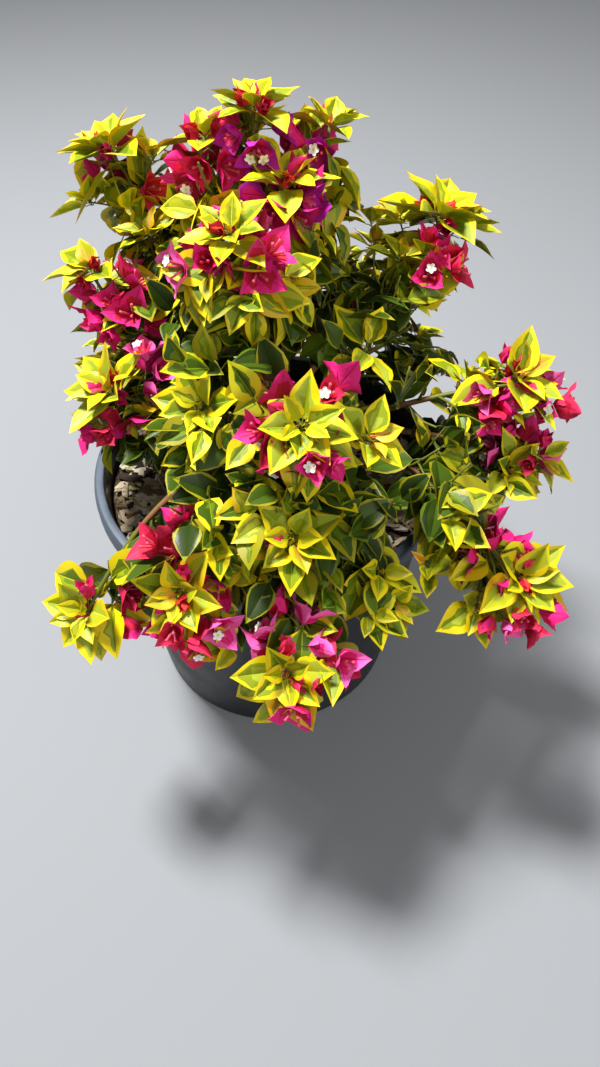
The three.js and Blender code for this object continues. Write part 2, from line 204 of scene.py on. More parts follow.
def start_ring(name, radius, height, sides):
    """An open ring of corners that is selected for editing, with its radius and height in mm."""
    only()
    bpy.ops.mesh.primitive_circle_add(vertices=sides, radius=radius * MM, location=(0, 0, 0))
    piece = bpy.context.object
    piece.name = piece.data.name = name
    bpy.ops.object.mode_set(mode="EDIT")
    bpy.ops.mesh.select_mode(type="VERT")
    bpy.ops.mesh.select_all(action="SELECT")
    bpy.ops.transform.translate(value=(0, 0, height * MM))
    return piece


def draw_up(name, profile, sides):
    """A round solid from the radius and height of each of its rings, in mm."""
    foot = profile[0][1]
    piece = start_ring(name, *profile[0], sides)
    for (radius, height), (next_radius, next_height) in zip(profile, profile[1:]):
        rise = (0, 0, (next_height - height) * MM)
        bpy.ops.mesh.extrude_region_move(TRANSFORM_OT_translate={"value": rise})
        share = next_radius / radius
        bpy.ops.transform.resize(value=(share, share, 1), center_override=(0, 0, 0))
    bpy.ops.mesh.edge_face_add()
    bpy.ops.object.mode_set(mode="OBJECT")
    for part in (*piece.data.polygons, *piece.data.edges):
        part.select = False
    for vertex in piece.data.vertices:
        vertex.select = vertex.co.z < (foot + 0.01) * MM
    bpy.ops.object.mode_set(mode="EDIT")
    bpy.ops.mesh.edge_face_add()
    bpy.ops.mesh.select_all(action="SELECT")
    bpy.ops.mesh.normals_make_consistent(inside=False)
    bpy.ops.object.mode_set(mode="OBJECT")
    return piece


# %% Change and finish a piece
def add_modifier(piece, kind, settings):
    made = piece.modifiers.new(kind.lower(), kind)
    for name, value in settings.items():
        setattr(made, name, value)
    bpy.ops.object.modifier_apply(modifier=made.name)


def add_clouds(piece, name, lump, height, settings):
    """Raise lumps of a size and height in mm."""
    clouds = bpy.data.textures.new(name, "CLOUDS")
    clouds.noise_scale = lump * MM
    look = {"texture": clouds, "texture_coords": "LOCAL", "strength": height * MM}
    add_modifier(piece, "DISPLACE", {**look, **settings})


def finish_piece(piece, finishes, nodes=()):
    for finish in finishes:
        piece.data.materials.append(finish)
    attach(piece, "root")
    if nodes:
        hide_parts(*nodes)
    piece.data.calc_loop_triangles()
    print(piece.name, "has", len(piece.data.loop_triangles), "triangles")


# %% [markdown]
# ## The nursery pot
# The real pot is injection-moulded polyethylene, a tapered tub with a thick turned-out lip. It could be a
# revolved profile or a stack of rings. The rings are chosen here because each one is a size in the CAD
# source. A bevel then rounds the moulded corners, and a Boolean drills the drain holes.

# %% Pot sizes in millimetres
POT_HEIGHT, LIP_RADIUS, LIP_HEIGHT, LIP_OVERHANG, LIP_BAND = 214, 127, 15, 5.5, 8
FOOT_RADIUS, WALL, EDGE, LIP_ROUND = 104.5, 2.4, 2, 4
POT_SIDES = 96
DRAIN_HOLES, DRAIN_RADIUS, DRAIN_RING = 6, 5.5, 84
CREASE = math.radians(35)


def wall_radius(height):
    return FOOT_RADIUS + (LIP_RADIUS - LIP_OVERHANG - FOOT_RADIUS) * height / POT_HEIGHT


lip_foot = POT_HEIGHT - LIP_HEIGHT
pot_profile = [
    (FOOT_RADIUS - EDGE, 0),
    (wall_radius(EDGE), EDGE),
    (wall_radius(EDGE + 3), EDGE + 3),
    (wall_radius(lip_foot - 3), lip_foot - 3),
    (wall_radius(lip_foot), lip_foot),
    (LIP_RADIUS - LIP_ROUND / 3, lip_foot + 0.4),
    (LIP_RADIUS, lip_foot + 2),
    (LIP_RADIUS, POT_HEIGHT - 5),
    (LIP_RADIUS - 0.6, POT_HEIGHT - 2),
    (LIP_RADIUS - EDGE, POT_HEIGHT),
    (LIP_RADIUS - LIP_BAND + 1, POT_HEIGHT),
    (LIP_RADIUS - LIP_BAND, POT_HEIGHT - 1.5),
    (wall_radius(lip_foot) - WALL, lip_foot),
    (wall_radius(WALL) - WALL, WALL),
]
print("Pot: height, foot and lip radius in mm:", POT_HEIGHT, FOOT_RADIUS, LIP_RADIUS)

# %% Pot shell
pot = draw_up("nursery_pot", pot_profile, POT_SIDES)
bevel = {"width": 0.5 * MM, "segments": 2, "limit_method": "ANGLE", "angle_limit": CREASE}
add_modifier(pot, "BEVEL", bevel)

# %% Drain holes
drills = []
for hole in range(DRAIN_HOLES):
    bearing = hole / DRAIN_HOLES * 2 * math.pi
    place = (DRAIN_RING * MM * math.cos(bearing), DRAIN_RING * MM * math.sin(bearing), WALL / 2 * MM)
    size = {"vertices": 24, "radius": DRAIN_RADIUS * MM, "depth": 4 * WALL * MM}
    bpy.ops.mesh.primitive_cylinder_add(location=place, **size)
    drills.append(bpy.context.object)
only(*drills)
bpy.ops.object.join()
drill = bpy.context.object
only(pot)
add_modifier(pot, "BOOLEAN", {"object": drill, "operation": "DIFFERENCE", "solver": "EXACT"})
bpy.data.objects.remove(drill)
bpy.ops.object.shade_smooth_by_angle(angle=CREASE)
print("Faces of the pot with its", DRAIN_HOLES, "drain holes:", len(pot.data.polygons))

# %% [markdown]
# ### Pot finish
# Injection-moulded black polyethylene with recycled carbon black in it. It is slightly glossy, and months
# outdoors leave a grey bloom of dust and fine scuffs, so the black is dealt with a grey haze about 40 mm
# across and specks of about 1 mm, and the roughness follows the dust.

# %% Moulded polyethylene
moulded, tree, shader = new_finish("moulded_polyethylene", "#181B1F", {"IOR": 1.5, "Roughness": 0.42})
where = add_node(tree, "TexCoord").outputs["Object"]
haze = add_node(tree, "TexNoise", None, {"Scale": 25.0, "Detail": 5.0}, {"Vector": where})
specks = add_node(tree, "TexNoise", None, {"Scale": 700.0, "Detail": 2.0}, {"Vector": where})
mixed = {0: specks.outputs[0], 2: haze.outputs[0]}
dust = add_node(tree, "Math", {"operation": "MULTIPLY_ADD"}, {1: 0.6}, mixed)
worn = add_node(tree, "MapRange", None, {"From Min": 0.62, "From Max": 1.1}, {"Value": dust.outputs[0]})
black_and_grey = {6: linear("#0E1013"), 7: linear("#33373C")}
tint = add_node(tree, "Mix", {"data_type": "RGBA"}, black_and_grey, {0: worn.outputs[0]})
tree.links.new(tint.outputs[2], shader.inputs["Base Color"])
matt = add_node(tree, "MapRange", None, {"To Min": 0.34, "To Max": 0.72}, {"Value": worn.outputs[0]})
tree.links.new(matt.outputs[0], shader.inputs["Roughness"])
bump = add_node(tree, "Bump", None, {"Strength": 0.15, "Distance": 0.2 * MM}, {"Height": specks.outputs[0]})
tree.links.new(bump.outputs[0], shader.inputs["Normal"])

# %% Lip with scuffs and a painted sheen
# The same plastic on the lip, lighter and blue-grey: partly scuffs and dust, and partly a painted sheen
# where the rounded lip catches the light and the sky.
lip_scuffs_and_sheen = grained_finish("lip_scuffs_and_painted_sheen", "#4A5563", {"IOR": 1.5, "Roughness": 0.45},
                         {"Scale": 350.0, "Detail": 4.0}, (0.2, 0.2), (0.36, 0.6))
# The top and the outer band of the lip take the lighter finish: scuffs with a painted sheen.
least_height, least_radius = (lip_foot + 1) * MM, (LIP_RADIUS - LIP_BAND + 0.5) * MM
for face in pot.data.polygons:
    face.material_index = int(face.center.z > least_height and face.center.xy.length > least_radius)
finish_piece(pot, [moulded, lip_scuffs_and_sheen], ["pot"])

# %% [markdown]
# ## Potting mix
# Nursery mix is composted pine bark with perlite. Only its top shows, between the leaves on the left, so
# the body is one plain plug with a lumpy top, drawn up in rings and displaced. It fills the solid's height
# and is heaped a little above it with mulch. Loose flakes of bark and crumbs of perlite lie on top: a few
# shapes are modelled once and scattered as copies in one mesh.

# %% Plug of potting mix
SOIL_HEIGHT, SEAT_GAP = 187, 0.3
MULCH = 7
soil_foot = WALL + SEAT_GAP
mulch_top = SOIL_HEIGHT + MULCH
soil_top_radius = wall_radius(SOIL_HEIGHT) - WALL - SEAT_GAP
soil_profile = [
    (wall_radius(soil_foot) - WALL - SEAT_GAP, soil_foot),
    (soil_top_radius, SOIL_HEIGHT),
    (soil_top_radius, mulch_top - 1),
    *((radius, mulch_top) for radius in np.linspace(soil_top_radius - 1, 3, 34)),
]
soil = draw_up("potting_mix", soil_profile, POT_SIDES)
top_group = soil.vertex_groups.new(name="top")
top_group.add([v.index for v in soil.data.vertices if v.co.z > (mulch_top - 0.5) * MM], 1.0, "REPLACE")
for name, lump, height in (("mounds", 30, 5), ("clods", 7, 3.5)):
    add_clouds(soil, name, lump, height, {"direction": "Z", "vertex_group": "top"})
bpy.ops.object.shade_smooth()
print("Top of the mix in mm:", round(max(v.co.z for v in soil.data.vertices) / MM, 1))


# %% [markdown]
# ## Many small things in one mesh
# Leaves, flakes and petals come in hundreds. Each could be an object of its own, but a plant is easier to
# move as a few meshes, so a pile gathers corners, faces and a finish for each face, and becomes one object.
# A corner may be marked as part of a fold, and an edge between two such corners is shaded sharp.


# %% Piles
class Pile:
    def __init__(self):
        self.corners, self.folds, self.faces, self.finishes = [], [], [], []
        self.count = 0

    def add(self, corners, faces, finishes, folds=None):
        """Finishes is one finish for all the faces, or a list with one for each."""
        self.corners.append(corners)
        self.folds.append(np.zeros(len(corners), bool) if folds is None else folds)
        self.faces.extend(tuple(corner + self.count for corner in face) for face in faces)
        self.finishes.extend([finishes] * len(faces) if isinstance(finishes, int) else finishes)
        self.count += len(corners)

    def piece(self, name, smooth=True):
        mesh = bpy.data.meshes.new(name)
        mesh.from_pydata((np.concatenate(self.corners) * MM).tolist(), [], self.faces)
        mesh.polygons.foreach_set("material_index", np.array(self.finishes, np.int32))
        mesh.polygons.foreach_set("use_smooth", np.full(len(self.faces), smooth))
        ends = np.zeros(len(mesh.edges) * 2, np.int32)
        mesh.edges.foreach_get("vertices", ends)
        folded = np.concatenate(self.folds)[ends.reshape(-1, 2)].all(axis=1)
        mesh.attributes.new("sharp_edge", "BOOLEAN", "EDGE").data.foreach_set("value", folded)
        return put_in_scene(name, mesh)


# %% Flakes of bark and crumbs of perlite
def template_from(piece):
    corners = np.array([vertex.co for vertex in piece.data.vertices]) / MM
    faces = [tuple(face.vertices) for face in piece.data.polygons]
    bpy.data.objects.remove(piece)
    return corners, faces


FLAKE_SHAPES, FLAKES, CRUMBS = 8, 1900, 150
FLAKE_SIDES, FLAKE_THICKNESS, FLAKE_TAPER = 7, 0.28, 0.86
flake_shapes = []
for shape in range(FLAKE_SHAPES):
    flake = start_ring(f"flake_{shape}", 1, 0, FLAKE_SIDES)
    bpy.ops.mesh.edge_face_add()
    bpy.ops.mesh.extrude_region_move(TRANSFORM_OT_translate={"value": (0, 0, FLAKE_THICKNESS * MM)})
    bpy.ops.transform.resize(value=(FLAKE_TAPER, FLAKE_TAPER, 1), center_override=(0, 0, 0))
    bpy.ops.mesh.select_all(action="SELECT")
    bpy.ops.transform.vertex_random(offset=0.22 * MM, uniform=0.9, seed=shape + 1)
    bpy.ops.mesh.normals_make_consistent(inside=False)
    bpy.ops.object.mode_set(mode="OBJECT")
    flake_shapes.append(template_from(flake))
bpy.ops.mesh.primitive_ico_sphere_add(subdivisions=2, radius=MM)
crumb_shape = template_from(bpy.context.object)
print("Faces of a flake and a crumb:", len(flake_shapes[0][1]), len(crumb_shape[1]))


# %% Scatter them
def spun(dice, tip):
    turn, lean, way = dice.uniform(0, 2 * math.pi), abs(dice.normal(0, tip)), dice.uniform(0, 2 * math.pi)
    flat = Matrix.Rotation(turn, 3, "Z")
    axis = Vector((math.cos(way), math.sin(way), 0))
    return np.array(Matrix.Rotation(lean, 3, axis) @ flat)


def place_on_mix(dice):
    distance = (soil_top_radius - MIX_MARGIN) * math.sqrt(dice.uniform(0.02, 1))
    bearing = dice.uniform(0, 2 * math.pi)
    ground = np.array([distance * math.cos(bearing), distance * math.sin(bearing)])
    nearest = np.argmin(((top_corners[:, :2] - ground) ** 2).sum(axis=1))
    return np.array([*ground, top_corners[nearest, 2]])


MIX_MARGIN, FLAKE_LEAST, FLAKE_MOST, FLAKE_TIP = 5, 2.6, 14, 0.45
# Painted sunlight: the shares of the dried and silvered flakes are raised to lighten the mulch.
FLAKE_SHARES = (0.31, 0.17, 0.27, 0.13, 0.12)
dice = np.random.default_rng(11)
top_corners = np.array([v.co for v in soil.data.vertices if v.co.z > (mulch_top - 6) * MM]) / MM
flakes, crumbs = Pile(), Pile()
for index in range(FLAKES):
    place = place_on_mix(dice)
    length = min(FLAKE_LEAST + dice.gamma(1.7, 2.3), FLAKE_MOST)
    corners, faces = flake_shapes[index % FLAKE_SHAPES]
    stretched = corners * (length, length * dice.uniform(0.28, 0.68), 0.8 + 0.35 * length)
    place[2] += dice.uniform(0.8, 3.6)
    placed = stretched @ spun(dice, FLAKE_TIP).T + place
    if np.hypot(placed[:, 0], placed[:, 1]).max() < soil_top_radius + 1:
        flakes.add(placed, faces, int(dice.choice(len(FLAKE_SHARES), p=FLAKE_SHARES)))
for index in range(CRUMBS):
    place = place_on_mix(dice)
    corners, faces = crumb_shape
    size = dice.uniform(0.8, 2.3)
    lumpy = corners * size * (1 + 0.22 * dice.standard_normal((len(corners), 1))) * dice.uniform(0.7, 1.2, 3)
    place[2] += dice.uniform(1.0, 3.2)
    crumbs.add(lumpy + place, faces, 0)
print("Corners of the flakes and crumbs:", flakes.count, crumbs.count)

# %% [markdown]
# ### Finishes of the potting mix
# Composted pine bark is dark and fibrous when damp and silvery brown where it has dried. Its fibres are
# about 0.5 mm wide. The flakes are dealt five plain tones, since loose flakes differ from one another more
# than within themselves. Their tones, the shares of the lighter ones and the compost's light grain are all
# lighter than bark in shade, as painted sunlight on the mulch. Perlite is expanded volcanic glass: chalky,
# off-white and rough.


# %% Bark compost and perlite
def rough_finish(name, colour, roughness, grain=0.6, depth=0.5):
    return grained_finish(name, colour, {"Roughness": roughness, "Specular IOR Level": 0.25},
                          {"Scale": 1 / (grain * MM), "Detail": 4.0}, (0.7, depth),
                          (roughness - 0.12, min(roughness + 0.1, 1)))


# Painted sunlight: the compost's light grain and the five flake tones are lighter than bark in shade.
compost = grained_finish("bark_compost", "#2B2219", {"Roughness": 0.95, "Specular IOR Level": 0.2},
                         {"Scale": 260.0, "Detail": 6.0, "Roughness": 0.7}, (1.0, 1.2),
                         shades=[(0.38, "#1D1710"), (0.66, "#957F62")])
flake_finishes_with_painted_sun = [
    rough_finish("dried_pine_bark", "#B6A488", 0.9),
    rough_finish("damp_pine_bark", "#73593D", 0.8),
    rough_finish("silvered_pine_bark", "#CBC1AF", 0.9),
    rough_finish("charred_pine_bark", "#30261C", 0.8),
    rough_finish("mossy_pine_bark", "#A8A25E", 0.9),
]
perlite = rough_finish("expanded_perlite", "#D9D6CB", 0.95, 0.4, 0.3)
finish_piece(soil, [compost], ["soil"])
finish_piece(flakes.piece("bark_flakes", smooth=False), flake_finishes_with_painted_sun)
finish_piece(crumbs.piece("perlite_crumbs", smooth=False), [perlite])

# %% [markdown]
# ## Shoots
# Every bough and the green stem beyond it are one curve, from the trunk's fork or from an earlier shoot to
# its tip. The table repeats the CAD source's, so that what grows here stays where the solids are.
# The tips are in millimetres, and foliage begins at a share of each curve.

# %% Table of shoots
SHOOTS = {
    "top": {"tip": (-4, 62, 424), "foliage": 0.62},
    "top_left": {"tip": (-36, 50, 407), "from": ("top", 0.49)},
    "top_right": {"tip": (40, 64, 407), "from": ("top", 0.57)},
    "crown_middle": {"tip": (14, 32, 399), "from": ("top", 0.39)},
    "crown_front": {"tip": (-16, -8, 390), "from": ("top", 0.3)},
    "left_back": {"tip": (-92, 110, 374), "slot": 2, "foliage": 0.48},
    "left_high": {"tip": (-105, 36, 330), "from": ("left_back", 0.24)},
    "left_low": {"tip": (-98, -14, 288), "slot": 3},
    "right_back": {"tip": (112, 68, 345), "slot": 0},
    "left_back_low": {"tip": (-106, 82, 248), "from": ("left_back", 0.13), "flowers": False},
    "right_back_low": {"tip": (116, 98, 250), "from": ("right_back", 0.16), "flowers": False},
    "right_tuft": {"tip": (64, -2, 312), "from": ("right_back", 0.28), "flowers": False},
    "front_high": {"tip": (20, -98, 334), "from": ("top", 0.14)},
    "front_tuft": {"tip": (-36, -56, 312), "from": ("front_high", 0.3), "flowers": False},
    "right": {"tip": (155, -25, 300), "slot": 5, "foliage": 0.5},
    "right_edge": {"tip": (178, -44, 256), "from": ("right", 0.32), "arch": 0.05},
    "right_front": {"tip": (156, -132, 226), "from": ("right", 0.24)},
    "front": {"tip": (20, -181, 214), "slot": 4},
    "front_middle": {"tip": (15, -124, 274), "from": ("front", 0.32)},
    "front_left": {"tip": (-48, -143, 250), "from": ("left_low", 0.16)},
    "front_left_low": {"tip": (-112, -129, 212), "from": ("front_left", 0.34)},
    "front_right_tuft": {"tip": (66, -122, 240), "from": ("front", 0.22), "flowers": False},
    "back": {"tip": (4, 134, 338), "slot": 1},
    "back_right": {"tip": (84, 142, 262), "from": ("back", 0.24)},
    "back_left": {"tip": (-62, 156, 252), "from": ("back", 0.3)},
}
TRUNK_TOP, FORK_RING, FORK_SLOTS = 222, 8.4, 6
FOLIAGE_START, ARCH, BEND_PLACE = 0.4, 0.28, 0.45
MAIN_LIMB_RADIUS, SIDE_LIMB_RADIUS, LIMB_END_RADIUS = 3.9, 3.0, 2.1
STEM_TIP_RADIUS, STEM_STEPS = 1.1, 8


# %% Curves of the shoots
def point_on(curve, place):
    foot, bend, tip = curve
    place = np.asarray(place, float)[..., None]
    return (1 - place) ** 2 * foot + 2 * (1 - place) * place * bend + place ** 2 * tip


def unit(direction):
    return direction / np.linalg.norm(direction)


def plan_shoot(row, earlier):
    tip = np.array(row["tip"], float)
    foot = np.array([0, 0, TRUNK_TOP + SEAT_GAP])
    if "from" in row:
        parent, share = row["from"]
        foot = point_on(earlier[parent]["curve"], share)
    elif "slot" in row:
        bearing = (row["slot"] + 0.5) / FORK_SLOTS * 2 * math.pi
        foot = foot + FORK_RING * np.array([math.cos(bearing), math.sin(bearing), 0])
    span = np.hypot(*(tip - foot)[:2])
    rise = tip[2] - foot[2]
    bend = foot + (tip - foot) * BEND_PLACE
    bend[2] = foot[2] + rise / 2 + row.get("arch", ARCH) * max(span - rise, 0)
    curve = (foot, bend, tip)
    starts = row.get("foliage", FOLIAGE_START)
    return {
        "curve": curve,
        "starts": starts,
        "stem": point_on(curve, np.linspace(starts, 1, STEM_STEPS + 1)),
        "flowers": row.get("flowers", True),
        "base": SIDE_LIMB_RADIUS if "from" in row else MAIN_LIMB_RADIUS,
    }


shoots = {}
for name, row in SHOOTS.items():
    shoots[name] = plan_shoot(row, shoots)
print(len(shoots), "shoots, the longest stem in mm:",
      round(max(np.linalg.norm(np.diff(s["stem"], axis=0), axis=1).sum() for s in shoots.values())))

# %% [markdown]
# ## Trunk and boughs
# Young bougainvillea wood is tan-grey, with shallow cracks along its length and small raised pores. The
# trunk is drawn up ring by ring, and the boughs are curves with a radius at each point, as one would draw
# them by hand. A voxel remesh fuses them as real limbs grow together, and displacement raises the bark.

# %% Trunk
TRUNK_PROFILE = [(16, 0), (13, 0.12), (10.8, 0.32), (10.2, 0.62), (11.6, 0.86), (12.4, 1)]
TRUNK_LEAN, TRUNK_BUTTRESS, TRUNK_BUTTRESSES, TRUNK_SIDES = np.array([3.0, -2.0]), 0.12, 3, 27
trunk_foot = SOIL_HEIGHT + SEAT_GAP
trunk_height = TRUNK_TOP - trunk_foot
trunk_profile = [(radius, trunk_foot + trunk_height * rise) for radius, rise in TRUNK_PROFILE]
wood = draw_up("trunk_and_boughs", trunk_profile, TRUNK_SIDES)
for vertex in wood.data.vertices:
    left = 1 - (vertex.co.z / MM - trunk_foot) / trunk_height
    bearing = math.atan2(vertex.co.y, vertex.co.x)
    flare = 1 + TRUNK_BUTTRESS * left * math.cos(TRUNK_BUTTRESSES * bearing)
    vertex.co.x = vertex.co.x * flare + TRUNK_LEAN[0] * left * MM
    vertex.co.y = vertex.co.y * flare + TRUNK_LEAN[1] * left * MM
print("Height of the trunk in mm:", round(trunk_height, 1))

# %% Boughs
LIMB_STEPS = 12
drawing = bpy.data.curves.new("boughs", "CURVE")
drawing.dimensions = "3D"
drawing.bevel_depth = MM
drawing.bevel_resolution = 3
drawing.use_fill_caps = True
for shoot in shoots.values():
    line = drawing.splines.new("POLY")
    line.points.add(LIMB_STEPS)
    places = np.linspace(0, shoot["starts"], LIMB_STEPS + 1)
    sunk = point_on(shoot["curve"], places)
    sunk[0] -= 2.5 * unit(sunk[1] - sunk[0])
    for step, point in enumerate(line.points):
        point.co = (*(sunk[step] * MM), 1)
        point.radius = shoot["base"] + (LIMB_END_RADIUS - shoot["base"]) * step / LIMB_STEPS
boughs = put_in_scene("boughs", drawing)
only(boughs)
bpy.ops.object.convert(target="MESH")
only(boughs, wood)
bpy.ops.object.join()
print("Corners of the trunk with its", len(shoots), "boughs:", len(wood.data.vertices))

# %% Bark relief
add_modifier(wood, "REMESH", {"mode": "VOXEL", "voxel_size": 0.95 * MM})
add_modifier(wood, "SMOOTH", {"factor": 0.5, "iterations": 3})
trunk_group = wood.vertex_groups.new(name="trunk")
below_fork = [v.index for v in wood.data.vertices if trunk_foot + 1 < v.co.z / MM < TRUNK_TOP - 3]
trunk_group.add(below_fork, 1.0, "REPLACE")
for name, lump, height, group in (("pores", 1.6, 0.35, ""), ("cracks", 4.5, 1.5, "trunk")):
    add_clouds(wood, name, lump, height, {"vertex_group": group})
for vertex in wood.data.vertices:
    vertex.co.z = max(vertex.co.z, trunk_foot * MM)
only(wood)
bpy.ops.object.shade_smooth()
print("Faces of the wood:", len(wood.data.polygons), "and corners on the trunk:", len(below_fork))

# %% [markdown]
# ### Bark finish
# Thin corky bark, tan-grey and matt. Its cracks run along the limb and stand about 2 mm apart, so the
# noise is stretched upwards, and darker wood shows in them. Young wood is redder than old wood.

# %% Corky bark
bark = grained_finish("corky_bark", "#8F7757", {"Roughness": 0.85, "Specular IOR Level": 0.3},
                      {"Scale": 480.0, "Detail": 6.0, "Roughness": 0.65}, (0.8, 0.5),
                      shades=[(0.36, "#4A3524"), (0.6, "#B39A74")], stretch=(1, 1, 0.3))
finish_piece(wood, [bark], ["trunk", *[f"bough_{name}" for name in shoots]])

# %% [markdown]
# ## Room for each mass
# Leaves crowd, but they don't grow through limbs or through the pot. As in the CAD source, a mass keeps to
# the points that are near its own stem and nearer to it than to any other stem, and a leaf that would
# leave that room is tried smaller and then skipped. Here the border is loose, so that masses mingle.
# Open shafts, each a line with a radius, keep the gaps that the real crown has between its heads.

# %% Rooms and open shafts
STEM_ROOM = {"reach": 48, "mingle": 6}
HEAD_ROOM = {"reach": 68, "mingle": 16}
LIMB_CLEARANCE, MIX_CLEARANCE, WALL_CLEARANCE, LIP_CLEARANCE = 0.8, 7, 2, 1.5
LIP_MIDDLE, LIP_HALF_BAND, TRUNK_ROOM = 3, 6, 16
OPEN_SHAFTS = [
    ((-102, -9, 187), (-63, -159, 340), 21), ((-133, -60, 216), (-93, -150, 321), 22),
    ((-115, -60, 195), (-80, -150, 305), 10), ((76, 110, 380), (62, 15, 418), 19),
    ((150, 90, 268), (117, -20, 342), 21), ((92, -60, 197), (69, -150, 306), 11),
    ((126, 137, 240), (92, -12, 340), 6), ((85, 92, 200), (60, -67, 330), 9),
    ((131, 74, 200), (96, -55, 310), 9), ((97, 149, 200), (68, -29, 330), 9),
    ((174, -60, 211), (122, -160, 328), 13), ((-125, 156, 300), (-97, 43, 360), 8),
    ((-66, 120, 395), (-47, 40, 432), 11), ((25, -2, 294), (22, -74, 350), 10),
    ((75, 180, 200), (46, -80, 380), 6), ((-121, -61, 200), (-100, -110, 260), 9),
]

# %% Stems and limbs as short lines
names = list(shoots)
stem_starts = np.concatenate([shoots[name]["stem"][:-1] for name in names])
stem_ends = np.concatenate([shoots[name]["stem"][1:] for name in names])
limb_starts, limb_ends, limb_radii = [], [], []
for shoot in shoots.values():
    rings = point_on(shoot["curve"], np.linspace(0, shoot["starts"], 7))
    limb_starts.append(rings[:-1])
    limb_ends.append(rings[1:])
    limb_radii.append(np.linspace(shoot["base"], LIMB_END_RADIUS, 6))
limb_starts, limb_ends = np.concatenate(limb_starts), np.concatenate(limb_ends)
limb_radii = np.concatenate(limb_radii) + LIMB_CLEARANCE
shaft_feet, shaft_heads, shaft_radii = (np.array(part, float) for part in zip(*OPEN_SHAFTS))
print(len(stem_starts), "lines of stems,", len(limb_starts), "of limbs and", len(OPEN_SHAFTS), "open shafts")


# %% Distances
def line_distances(points, starts, ends):
    reach = ends - starts
    offset = points[:, None] - starts
    share = np.clip((offset * reach).sum(axis=2) / (reach * reach).sum(axis=1), 0, 1)
    return np.linalg.norm(offset - share[..., None] * reach, axis=2)


def has_room(owner, points, room=STEM_ROOM):
    to_stems = line_distances(points, stem_starts, stem_ends)
    to_stems = to_stems.reshape(len(points), -1, STEM_STEPS).min(axis=2)
    own = to_stems[:, owner]
    if own.max() > room["reach"] or (own > to_stems.min(axis=1) + room["mingle"]).any():
        return False
    if (line_distances(points, limb_starts, limb_ends) < limb_radii).any():
        return False
    if (line_distances(points, shaft_feet, shaft_heads) < shaft_radii).any():
        return False
    out, height = np.hypot(points[:, 0], points[:, 1]), points[:, 2]
    in_pot = (height < mulch_top + MIX_CLEARANCE) & (out < LIP_RADIUS + WALL_CLEARANCE)
    in_lip = (height < POT_HEIGHT + LIP_CLEARANCE) & (abs(out - LIP_RADIUS + LIP_MIDDLE) < LIP_HALF_BAND)
    in_trunk = (height < TRUNK_TOP) & (out < TRUNK_ROOM)
    return not (in_pot | in_lip | in_trunk).any()


# %% [markdown]
# ## Leaves
# A bougainvillea leaf is an oval blade with a long fine tip, folded along its midrib. This variegated kind
# has a broad uneven yellow margin and a green heart with grey-green blotches. Its inner leaves are deep green
# with a thin margin, partly because they are older and greener and partly as painted shade. The zones could
# be painted, but their borders are sharp, so they are modelled as strips of faces with plain colours, which
# also keeps them sharp when the plant is exported.

# %% Leaf outline
OUTLINE = np.array([
    (0, 0), (0.06, 0.42), (0.16, 0.78), (0.29, 0.98), (0.43, 1), (0.57, 0.88), (0.71, 0.62), (0.84, 0.32),
    (0.94, 0.11), (1, 0),
])
HEART_ENDS = [(0, 0.75), (0.25, 1), (0.6, 0.95), (0.8, 0.62), (0.93, 0.3), (1, 0)]
MIDRIB, VEIN_SWEEP = 0.035, 0.1
RAGGED, HEART_LIMITS = 0.3, (0.12, 0.94)
BLOTCH, BLOTCH_RAGGED, BLOTCH_LIMITS = 0.6, 0.32, (0.26, 0.88)


def half_width(place):
    return np.interp(place, OUTLINE[:, 0], OUTLINE[:, 1])


def strips_to_faces(rows, columns):
    """Faces of a blade with one corner at its root and one at its tip, and rows of corners between them."""
    tip = 1 + rows * columns
    faces = [(0, 1 + c + 1, 1 + c) for c in range(columns - 1)]
    for row in range(rows - 1):
        low, high = 1 + row * columns, 1 + (row + 1) * columns
        faces += [(low + c, low + c + 1, high + c + 1, high + c) for c in range(columns - 1)]
    last = 1 + (rows - 1) * columns
    return faces + [(last + c, last + c + 1, tip) for c in range(columns - 1)]


# %% Strips of a blade
def blade_pattern(stations, sides, zones):
    """A pattern holds each corner's place along the blade and across it, its faces, and the zone of each."""
    rows, columns = sides.shape
    swept = stations[:, None] + VEIN_SWEEP * abs(sides) * (1 - stations[:, None])
    along = np.concatenate([[0], swept.ravel(), [1]])
    across = np.concatenate([[0], sides.ravel(), [0]])
    return {"along": along, "across": across, "fold": across == 0,
            "faces": strips_to_faces(rows, columns), "zones": zones}


# %% Variegated and shaded leaves
def variegated_pattern(dice, heart_share):
    """The green heart and its blotches end in a ragged border, and each side has its own."""
    stations = OUTLINE[1:-1, 0]
    rows = len(stations)
    ends = np.interp(stations, *zip(*HEART_ENDS))
    halves, blotched = [], []
    for side in (-1, 1):
        rough = dice.uniform(-RAGGED, RAGGED, rows + 1)
        heart = np.clip((heart_share + 0.8 * rough[1:] + 0.2 * rough[:-1]) * ends, *HEART_LIMITS)
        blotch = heart * (BLOTCH + dice.uniform(-BLOTCH_RAGGED, BLOTCH_RAGGED, rows)).clip(*BLOTCH_LIMITS)
        halves.append(np.stack([np.full(rows, MIDRIB), blotch, heart, np.ones(rows)], axis=1) * side)
        first = dice.integers(0, 3)
        blotched.append(range(first, first + dice.integers(3, 7)))
    sides = np.concatenate([halves[0][:, ::-1], np.zeros((rows, 1)), halves[1]], axis=1)
    zones = []
    for row in range(rows + 1):
        left, right = (["margin", "heart", "blotch" if row in half else "heart", "vein"] for half in blotched)
        if row >= rows - 1:
            left = right = ["margin", "margin", "margin", "vein"]
        zones += left + right[::-1]
    return blade_pattern(stations, sides, zones)


